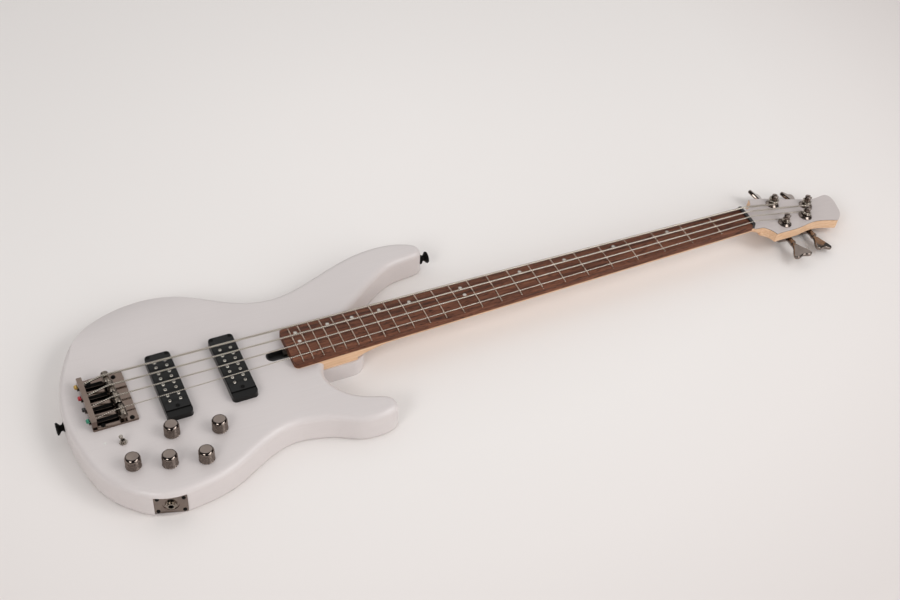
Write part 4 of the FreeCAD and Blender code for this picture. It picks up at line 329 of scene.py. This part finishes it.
def blackened_poles_shaded_sockets():
    """Steel pole screws, black all over but for their tops, which are ground bright; the black on the sides
    is their oxide, and inside each hex socket it is painted shade in the recess.
    """
    material, tree, coords = new_material("pole_steel_ground_painted_socket_shade")
    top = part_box("pole_pieces")[1][2]
    height = add(tree, "ShaderNodeSeparateXYZ", {"Vector": coords})
    ground = add(tree, "ShaderNodeMapRange", {"Value": height.outputs["Z"]},
                 {"From Min": float(top - BLACK_DEPTH), "From Max": float(top - GROUND_DEPTH)})
    patches = add(tree, "ShaderNodeTexNoise", {"Vector": coords}, {"Scale": 1 / (9 * MM), "Detail": 3.0})
    bright = add(tree, "ShaderNodeValToRGB", {"Fac": patches.outputs["Fac"]},
                 stops=[(0.35, "#CFC7BB"), (0.65, "#DED7CC")])
    # black below the ground top: the oxide on the side, and painted shade down the hex socket
    colour = add(tree, "ShaderNodeMix", {"Factor": ground.outputs[0], "B": bright.outputs[0]},
                 {"A": linear("#14110F")}, data_type="RGBA")
    shader = add(tree, "ShaderNodeBsdfPrincipled", {"Base Color": colour.outputs["Result"]},
                 {"Roughness": 0.28, "Metallic": 1.0})
    add(tree, "ShaderNodeOutputMaterial", {"Surface": shader.outputs[0]})
    return material


def wound_nickel_painted_shade():
    """Nickel wire wound round a core in slanting turns: the colour paints shade in the gaps between turns and
    a highlight on each turn, and a bump follows the same bands.
    """
    material, tree, coords = new_material("nickel_roundwound_painted_shade")
    where = add(tree, "ShaderNodeSeparateXYZ", {"Vector": coords})
    lean = add(tree, "ShaderNodeMath", {0: where.outputs["Y"]}, {1: WOUND_SLANT}, operation="MULTIPLY")
    along = add(tree, "ShaderNodeMath", {0: where.outputs["X"], 1: lean.outputs[0]}, operation="ADD")
    line = add(tree, "ShaderNodeCombineXYZ", {"X": along.outputs[0]})
    turns = add(tree, "ShaderNodeTexWave", {"Vector": line.outputs[0]}, {"Scale": WAVE_REPEAT / WOUND_TURN},
                wave_type="BANDS", bands_direction="X", wave_profile="SIN").outputs["Fac"]
    # painted shade and highlight: the dark stop lies in the gaps between the turns, the bright stops on the
    # turns
    colour = add(tree, "ShaderNodeValToRGB", {"Fac": turns},
                 stops=[(0.14, "#4A4139"), (0.42, "#C6BAAC"), (0.85, "#F4EADD")])
    bump = add(tree, "ShaderNodeBump", {"Height": turns}, {"Strength": 0.4, "Distance": GRAIN_RELIEF})
    shader = add(tree, "ShaderNodeBsdfPrincipled",
                 {"Base Color": colour.outputs[0], "Normal": bump.outputs[0]},
                 {"Roughness": 0.34, "Metallic": 1.0})
    add(tree, "ShaderNodeOutputMaterial", {"Surface": shader.outputs[0]})
    return material


def moulded(name, dark, light, roughness, grit_mm=0.8, coat=0.0, gloss=0.5):
    """Moulded plastic, or a painted or blackened coat like it, with a fine even grain in its surface."""
    material, tree, coords = new_material(name)
    grit = add(tree, "ShaderNodeTexNoise", {"Vector": coords},
               {"Scale": 1 / (grit_mm * MM), "Detail": 2.0}).outputs["Fac"]
    colour = add(tree, "ShaderNodeValToRGB", {"Fac": grit}, stops=[(0.30, dark), (0.70, light)])
    bump = add(tree, "ShaderNodeBump", {"Height": grit}, {"Strength": 0.12, "Distance": GRIT_RELIEF})
    shader = add(tree, "ShaderNodeBsdfPrincipled",
                 {"Base Color": colour.outputs[0], "Normal": bump.outputs[0]},
                 {"Roughness": roughness, "IOR": 1.49, "Specular IOR Level": gloss, "Coat Weight": coat,
                  "Coat Roughness": 0.08})
    add(tree, "ShaderNodeOutputMaterial", {"Surface": shader.outputs[0]})
    return material


def ball_lacquers():
    """Brass ball ends dipped in coloured lacquer, one colour to a string across the bridge."""
    material, tree, coords = new_material("brass_ball_lacquer")
    across = add(tree, "ShaderNodeSeparateXYZ", {"Vector": coords})
    share = add(tree, "ShaderNodeMapRange", {"Value": across.outputs["Y"]},
                {"From Min": -BALL_SPREAD, "From Max": BALL_SPREAD})
    colour = add(tree, "ShaderNodeValToRGB", {"Fac": share.outputs[0]},
                 stops=[(0.0, "#1F7F63"), (0.25, "#24201E"), (0.50, "#A8242E"), (0.75, "#B89445")])
    colour.color_ramp.interpolation = "CONSTANT"
    shader = add(tree, "ShaderNodeBsdfPrincipled", {"Base Color": colour.outputs[0]},
                 {"Roughness": 0.25, "Metallic": 0.35, "Coat Weight": 0.6, "Coat Roughness": 0.1})
    add(tree, "ShaderNodeOutputMaterial", {"Surface": shader.outputs[0]})
    return material


FINISHES = {
    "body_finish": lacquered_ash(),
    "maple": oiled_maple(),
    "head_paint": painted_face(),
    "rosewood": oiled_rosewood(),
    "fret_nickel": metal("nickel_silver_polished", "#DCC8B6", "#F4E0CE", 0.22, 0.34),
    "pearl": moulded("inlay_white_polished", "#B4AEA6", "#D2CDC5", 0.25, 2.0),
    "nut_black": moulded("nut_graphite_moulded", "#161514", "#242220", 0.45),
    "rod_steel": metal("steel_zinc_plated", "#4E4A46", "#6A655F", 0.35, 0.50),
    "black_plastic": moulded("abs_black_moulded", "#121110", "#1E1C1B", 0.42),
    "black_nickel": metal("black_nickel_polished", "#81756E", "#8E827A", 0.07, 0.15, 22),
    "bridge_nickel": metal("black_nickel_bridge", "#76675F", "#84756C", 0.07, 0.15, 22),
    "string_nickel": wound_nickel_painted_shade(),
    "ball_lacquer": ball_lacquers(),
    # the saddles' patches span dark to bright: a little random tone, mostly painted glints and shade for
    # light caught on their threads
    "saddle_steel": metal("saddle_nickel_painted_glints", "#4C443E", "#9A9085", 0.10, 0.24, 6),
    "pickup_black": moulded("pickup_cover_satin", "#0B0A09", "#11100F", 0.28, gloss=0.26),
    "pole_steel": blackened_poles_shaded_sockets(),
    "coil_copper": metal("copper_enamelled", "#7A3F24", "#96512F", 0.25, 0.40, 1),
    "chrome": metal("chrome_bright", "#D5D1CB", "#E6E3DE", 0.08, 0.16),
    "sleeve_nickel": metal("sleeve_nickel_satin", "#8D847B", "#ABA298", 0.16, 0.26, 5),
    "bushing_nickel": metal("black_nickel_satin", "#81756E", "#8E827A", 0.20, 0.30, 22),
    "toggle_nickel": metal("nickel_dull", "#8C847C", "#B2AAA1", 0.22, 0.34, 4),
    "led_lens": moulded("lens_clear_tinted", "#C9C4C0", "#DAD6D2", 0.12, 1.0, 0.5),
    "circuit_green": moulded("solder_mask_green", "#0C3A22", "#14502F", 0.40, 2.0),
    "oxide_black": moulded("steel_black_oxide", "#070605", "#100E0D", 0.48, 2.0, gloss=0.1),
    "battery_case": moulded("battery_can_painted", "#1D1E22", "#2A2B30", 0.35, 3.0),
}
for part in frame["record"]["subparts"]:
    mesh = NODES[part["node"]].data
    mesh.materials.clear()
    mesh.materials.append(FINISHES[part["material_slot"]])
for node in ("pickup_screws", "jack_screws", "bridge_screws", "strap_buttons", "strap_screws"):
    NODES[node].data.materials[0] = FINISHES["oxide_black"]
for node, finish in (("jack_socket", "sleeve_nickel"), ("tuner_bushings", "bushing_nickel"),
                     ("toggle_switch", "toggle_nickel"), ("bridge_plate", "bridge_nickel")):
    NODES[node].data.materials[0] = FINISHES[finish]


# Knobs and toggle

def knob_profile(radius, height):
    """Profile of a knob from under its rim, up the knurled side, over a polished shoulder to the flat top.

    The shoulder is the upper part of an ellipse's quarter, r = r0 + a cos t and z = z0 + b sin t.
    """
    corner = np.linspace(SHOULDER_START, np.pi / 2, SHOULDER_STEPS)
    rise = KNOB_SHOULDER * (np.sin(corner) - np.sin(corner[0])) / (1 - np.sin(corner[0]))
    inward = KNOB_REACH * (np.cos(corner[0]) - np.cos(corner))
    side = np.linspace(KNOB_RING, height - KNOB_SHOULDER - KNOB_LIP, KNOB_ROWS)
    r = np.concatenate([[0, radius - 4 * KNOB_LIP, radius - KNOB_LIP, radius], np.full(side.size, radius),
                        [radius - KNOB_LIP], radius - KNOB_LIP - inward, [radius / 2, 0]])
    z = np.concatenate([[0, 0, KNOB_LIP / 3, KNOB_RING / 2], side, [height - KNOB_SHOULDER],
                        height - KNOB_SHOULDER + rise, [height, height]])
    return r, z


def knurl(height, turn):
    """Depth of a diamond knurl: two crossed sets of V grooves wind round the side, and their depths add."""
    inside = (height >= KNOB_RING) & (height <= height.max() - KNOB_SHOULDER - KNOB_LIP)
    one = np.abs((KNURL_RIDGES * turn / (2 * np.pi) + height * KNURL_RIDGES / KNURL_LEAD) % 1 - 0.5)
    two = np.abs((KNURL_RIDGES * turn / (2 * np.pi) - height * KNURL_RIDGES / KNURL_LEAD) % 1 - 0.5)
    return inside * KNURL_DEPTH * (one + two)


def make_knobs():
    """Knurled knobs with polished shoulders, each in the place of its CAD node."""
    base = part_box("body")[1][2] + KNOB_FOOT
    for label in ("volume", "balance", "treble", "mid", "bass"):
        low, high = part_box("knob_" + label)
        r, z = knob_profile((high[0] - low[0]) / 2, high[2] - base)
        centre = ((low[0] + high[0]) / 2, (low[1] + high[1]) / 2, base)
        piece = revolved("knob_cap_" + label, r, z, centre, KNOB_ANGLES, knurl)
        piece.data.materials.append(FINISHES["black_nickel"])
        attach(piece, "knob_" + label)
        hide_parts("knob_" + label)


def make_toggle():
    """Bat of the toggle switch: a ball at the pivot, then a stem that widens to a flat tip.

    Its profile (r, z) is an arc of the ball and then the stem's corners, turned about the bat's own axis.
    """
    joints = frame["record"]["behaviour"]["joints"]
    pivot = next(joint["pos_m"] for joint in joints if joint["name"] == "toggle_tip")
    ball = np.radians(np.linspace(-90, TOGGLE_BALL_TOP, TOGGLE_BALL_STEPS))
    r = np.concatenate([TOGGLE_BALL * np.cos(ball), TOGGLE_STEM_R])
    z = np.concatenate([TOGGLE_BALL * np.sin(ball), TOGGLE_STEM_Z])
    bat = revolved("toggle_bat", r, z, pivot, TOGGLE_ANGLES, lean=TOGGLE_LEAN)
    bat.data.materials.append(FINISHES["toggle_nickel"])
    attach(bat, "toggle")
    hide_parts("toggle_lever")


make_knobs()
make_toggle()


# Springs

def coil(name, start, end):
    """Closed spring along x: a circle of the wire's radius carried along a helix.

    The helix is (x(t), y + R cos t, z + R sin t). Its normal points away from the axis and its binormal is
    tangent x normal. The wire's radius falls to zero on the last ring at each end, which closes the tube.
    """
    turns = (end[0] - start[0]) / SPRING_PITCH
    t = np.linspace(0, 2 * np.pi * turns, int(turns * SPRING_STEPS) + 1)
    advance = SPRING_PITCH / (2 * np.pi)
    zero = np.zeros_like(t)
    normal = np.stack([zero, np.cos(t), np.sin(t)], 1)
    line = np.array(start) + np.stack([advance * t, zero, zero], 1) + SPRING_RADIUS * normal
    tangent = np.stack([zero + advance, -SPRING_RADIUS * np.sin(t), SPRING_RADIUS * np.cos(t)], 1)
    tangent = tangent / np.linalg.norm(tangent, axis=1)[:, None]
    binormal = np.cross(tangent, normal)
    line = np.concatenate([line[:1], line, line[-1:]])
    normal = np.concatenate([normal[:1], normal, normal[-1:]])
    binormal = np.concatenate([binormal[:1], binormal, binormal[-1:]])
    thick = np.full(len(line), SPRING_WIRE)
    thick[[0, -1]] = 0
    v = np.linspace(0, 2 * np.pi, SPRING_SIDES, endpoint=False)[None, :, None]
    around = np.cos(v) * normal[:, None] + np.sin(v) * binormal[:, None]
    return grid_piece(name, (line[:, None] + thick[:, None, None] * around)[None])


def make_springs():
    """Black springs on the intonation screws, from the bridge's wall to each saddle, which squeezes them.

    Each lies above its screw's axis by the play between the two, which is nearer to its height in the photo.
    """
    plate_low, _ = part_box("bridge_plate")
    screw_low, screw_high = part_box("intonation_screws")
    height = (screw_low[2] + screw_high[2]) / 2 + SPRING_PLAY
    for name in "eadg":
        low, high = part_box("saddle_" + name)
        across = (low[1] + high[1]) / 2
        start = (plate_low[0] + WALL_DEPTH, across, height)
        end = (low[0] - SPRING_GAP, across, height)
        spring = coil("spring_" + name, start, end)
        spring.data.materials.append(FINISHES["oxide_black"])
        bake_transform(spring)


make_springs()


# Pole pieces

def make_poles():
    """Pole screws with hexagonal sockets: a profile (r, z) carried round t, in a copy at each pole's middle.

    On the socket's rows the radius is that of a hexagon, flat / cos(t'), with t' the angle from the
    nearest flat.
    """
    points = mesh_points("pole_pieces")
    columns = runs(points[:, 0], POLE_SPLIT)
    near = [points[np.abs(points[:, 0] - x) < POLE_REACH, 1] for x in columns]
    middles = np.concatenate([[(x, y) for y in runs(beside, POLE_SPLIT)] for x, beside in zip(columns, near)])
    low, high = points[:, 2].min(), points[:, 2].max()
    radius = columns[0] - points[:, 0].min()
    turn = np.linspace(0, 2 * np.pi, POLE_SIDES, endpoint=False)
    hexagon = SOCKET_FLAT / np.cos((turn + np.pi / 6) % (np.pi / 3) - np.pi / 6)
    axis = np.zeros_like(turn)
    side, rim = axis + radius, axis + radius - POLE_BEVEL
    reach = np.stack([axis, side, side, rim, hexagon, hexagon, axis])
    level = np.array([low, low, high - POLE_BEVEL, high, high, high - SOCKET_DEPTH, high - SOCKET_DEPTH])
    x = middles[:, 0, None, None] + reach * np.cos(turn)
    y = middles[:, 1, None, None] + reach * np.sin(turn)
    z = np.broadcast_to(level[None, :, None], x.shape)
    poles = grid_piece("pole_screws", np.stack([x, y, z], -1))
    poles.data.materials.append(FINISHES["pole_steel"])
    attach(poles, ROOT)
    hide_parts("pole_pieces")


make_poles()


# Fingerboard

def make_frets():
    """Fret wires in the places of the CAD frets, narrower: an ellipse turned about the fingerboard's axis.

    A point is (x - w cos t, r sin a, c + r cos a) with r = R + h sin t, where t goes round the wire and a
    across the board. The lower half is sunk in the board. Each end is bevelled down to a flat ellipse, and
    that falls to a point, which closes it.
    """
    points = mesh_points("frets")
    places = runs(points[:, 0], FRET_SPLIT)
    axis = points[:, 2].max() - FRET_HEIGHT - BOARD_RADIUS
    reach = np.array([points[np.abs(points[:, 0] - x) < FRET_SPLIT, 1].max() for x in places])
    inner = 1 - FRET_BEVEL
    share = np.concatenate([[-1, -1], np.linspace(-inner, inner, FRET_ROWS), [1, 1]])
    tall = np.ones((len(share), 1))
    tall[[1, -2]] = FRET_TIP
    tall[[0, -1]] = 0
    wide = np.sign(tall)
    angle = (np.arcsin(reach / BOARD_RADIUS)[:, None] * share)[:, :, None]
    turn = np.linspace(0, 2 * np.pi, FRET_SIDES, endpoint=False)
    radius = BOARD_RADIUS + FRET_HEIGHT * tall * np.sin(turn)
    x = places[:, None, None] - FRET_HALF_WIDTH * wide * np.cos(turn)
    y, z = radius * np.sin(angle), axis + radius * np.cos(angle)
    frets = grid_piece("fret_crowns", np.stack([x, y, z], -1))
    frets.data.materials.append(FINISHES["fret_nickel"])
    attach(frets, ROOT)
    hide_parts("frets")


def make_shade_skirt():
    """Lower edge of the fingerboard: a dark rosewood strip round the neck's sides and heel end, under the
    board, partly the board's own edge and below that painted shade on the neck's side.

    Its section is a box that stands a hair proud of the neck. It is carried along the board's outline, from
    the nut down one side, round the heel's two corners as arcs c + r (cos t, sin t), and up the other side
    to the nut. At each end it falls to a point, which closes it.
    """
    points = mesh_points("fingerboard")
    under = points[:, 2].min()
    heel, nut = points[:, 0].min(), points[:, 0].max()
    narrow = points[points[:, 0] > nut - NUT_REACH, 1].max()
    wide_x, wide_y = points[np.argmax(points[:, 1]), :2]
    taper = math.atan2(wide_y - narrow, nut - wide_x)
    neck = mesh_points("neck")
    beside = neck[(neck[:, 0] > wide_x) & (neck[:, 0] < nut) & (neck[:, 2] > under - SKIRT_DROP)]
    half = narrow + (nut - beside[:, 0]) * math.tan(taper)
    proud = SKIRT_PROUD + max(0, (np.abs(beside[:, 1]) - half).max())
    turn = np.linspace(np.pi / 2 - taper, np.pi, SKIRT_STEPS)
    outward = np.stack([np.cos(turn), np.sin(turn)], 1)
    centre = np.array([heel + SKIRT_CORNER, wide_y - SKIRT_CORNER * np.cos(taper)])
    line = np.concatenate([[[nut, narrow], [nut, narrow]], centre + SKIRT_CORNER * outward])
    outward = np.concatenate([outward[:1], outward[:1], outward])
    mirror = np.array([1, -1])
    line = np.concatenate([line, line[::-1] * mirror])[:, None]
    outward = np.concatenate([outward, outward[::-1] * mirror])[:, None]
    size = np.ones((len(line), 1))
    size[[0, -1]] = 0
    out = size * np.array([proud, proud, -SKIRT_SUNK, -SKIRT_SUNK])
    level = size * np.array([SKIRT_LAP, -SKIRT_DROP, -SKIRT_DROP, SKIRT_LAP])
    flat = line + outward * out[:, :, None]
    height = (under + level)[:, :, None]
    # a dark strip that paints shade on the upper part of the neck's side
    skirt = grid_piece("fingerboard_skirt_painted_shade", np.concatenate([flat, height], 2)[None])
    skirt.data.materials.append(FINISHES["rosewood"])
    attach(skirt, ROOT)


make_frets()
make_shade_skirt()


# Stage

def make_floor():
    """Plain pale floor, with painted shade that darkens it a little away from its middle, for the light's
    falloff towards the corners.
    """
    signs = [(-1, -1), (1, -1), (1, 1), (-1, 1)]
    corners = [(x * FLOOR_HALF, y * FLOOR_HALF, FLOOR_LEVEL) for x, y in signs]
    mesh = bpy.data.meshes.new("floor")
    mesh.from_pydata(corners, [], [(0, 1, 2, 3)])
    floor = bpy.data.objects.new("floor", mesh)
    bpy.context.scene.collection.objects.link(floor)
    material, tree, coords = new_material("floor_matt_white_painted_falloff")
    away = add(tree, "ShaderNodeVectorMath", {0: coords}, {1: FLOOR_MIDDLE}, operation="DISTANCE")
    # painted shade: the stops darken with distance from the floor's middle
    colour = add(tree, "ShaderNodeValToRGB", {"Fac": away.outputs["Value"]},
                 stops=[(0.10, "#EEE9E6"), (0.45, "#E9E4E1"), (0.62, "#E7E2DF"), (0.78, "#E2DCD9"),
                        (1.0, "#D6CFCC")])
    shader = add(tree, "ShaderNodeBsdfPrincipled", {"Base Color": colour.outputs[0]}, {"Roughness": 0.9})
    add(tree, "ShaderNodeOutputMaterial", {"Surface": shader.outputs[0]})
    mesh.materials.append(material)


def area_light(name, place, target, size, power):
    """Square soft light at place, facing target."""
    lamp = bpy.data.lights.new(name, "AREA")
    lamp.shape = "SQUARE"
    lamp.size = size
    lamp.energy = power
    light = bpy.data.objects.new(name, lamp)
    light.location = place
    aim = np.array(place) - np.array(target)
    aim = aim / np.linalg.norm(aim)
    side = np.cross((0, 1, 0), aim)
    side = side / np.linalg.norm(side)
    columns = np.stack([side, np.cross(aim, side), aim], 1)
    light.rotation_euler = Matrix(columns.tolist()).to_euler()
    bpy.context.scene.collection.objects.link(light)


def make_light():
    """Pale walls with a dim ceiling over the camera, two high soft boxes and a broad fill.

    What shines mirrors a dark room with one broad pale screen beyond the object, as a studio has.
    """
    world = bpy.data.worlds.new("studio")
    world.use_nodes = True
    bpy.context.scene.world = world
    tree = world.node_tree
    over_camera, screen, screen_breadth = (0.0, -0.5, 0.87), (0.1, 0.71, 0.70), (0.5, 1.0, 1.0)
    towards = add(tree, "ShaderNodeTexCoord").outputs["Generated"]
    ceiling = add(tree, "ShaderNodeVectorMath", {0: towards}, {1: over_camera}, operation="DOT_PRODUCT")
    lit = add(tree, "ShaderNodeValToRGB", {"Fac": ceiling.outputs["Value"]},
              stops=[(0.70, "#E6E6E6"), (0.86, "#7E7E7E")])
    broad = add(tree, "ShaderNodeVectorMath", {0: towards}, {1: screen_breadth}, operation="MULTIPLY")
    unit = add(tree, "ShaderNodeVectorMath", {0: broad.outputs[0]}, operation="NORMALIZE")
    far = add(tree, "ShaderNodeVectorMath", {0: unit.outputs[0]}, {1: screen}, operation="DOT_PRODUCT")
    mirrored = add(tree, "ShaderNodeValToRGB", {"Fac": far.outputs["Value"]},
                   stops=[(0.80, "#383838"), (0.95, "#F6F6F6")])
    glossy = add(tree, "ShaderNodeLightPath").outputs["Is Glossy Ray"]
    shade = add(tree, "ShaderNodeMix", {"Factor": glossy, "A": lit.outputs[0], "B": mirrored.outputs[0]},
                data_type="RGBA")
    tree.links.new(shade.outputs["Result"], tree.nodes["Background"].inputs["Color"])
    middle = (0.35, 0.0, 0.0)
    area_light("left", (-1.5, -1.4, 1.7), middle, 1.0, 19)
    area_light("right", (1.8, -1.1, 1.9), middle, 1.0, 15)
    area_light("front", (3.2, -4.4, 2.8), middle, 4.0, 125)


def make_camera():
    """Camera where the photograph was taken from: place, bearing, dip and roll fitted to the frets."""
    place = (-0.18206, -1.22181, 1.38343)
    bearing, dip, roll = np.radians((-26.36, 44.348, 3.321))
    back = np.array((np.sin(bearing) * np.cos(dip), -np.cos(bearing) * np.cos(dip), np.sin(dip)))
    right = np.array((np.cos(bearing), np.sin(bearing), 0))
    up = np.cross(back, right)
    rolled_right = np.cos(roll) * right + np.sin(roll) * up
    rolled_up = np.cos(roll) * up - np.sin(roll) * right
    lens = bpy.data.cameras.new("camera")
    lens.sensor_fit = "HORIZONTAL"
    lens.sensor_width = 36
    lens.lens = 60.16
    camera = bpy.data.objects.new("camera", lens)
    camera.location = place
    camera.rotation_euler = Matrix(np.stack([rolled_right, rolled_up, back], 1).tolist()).to_euler()
    bpy.context.scene.collection.objects.link(camera)
    bpy.context.scene.camera = camera


make_floor()
make_light()
make_camera()
bpy.context.scene.view_settings.view_transform = "Standard"
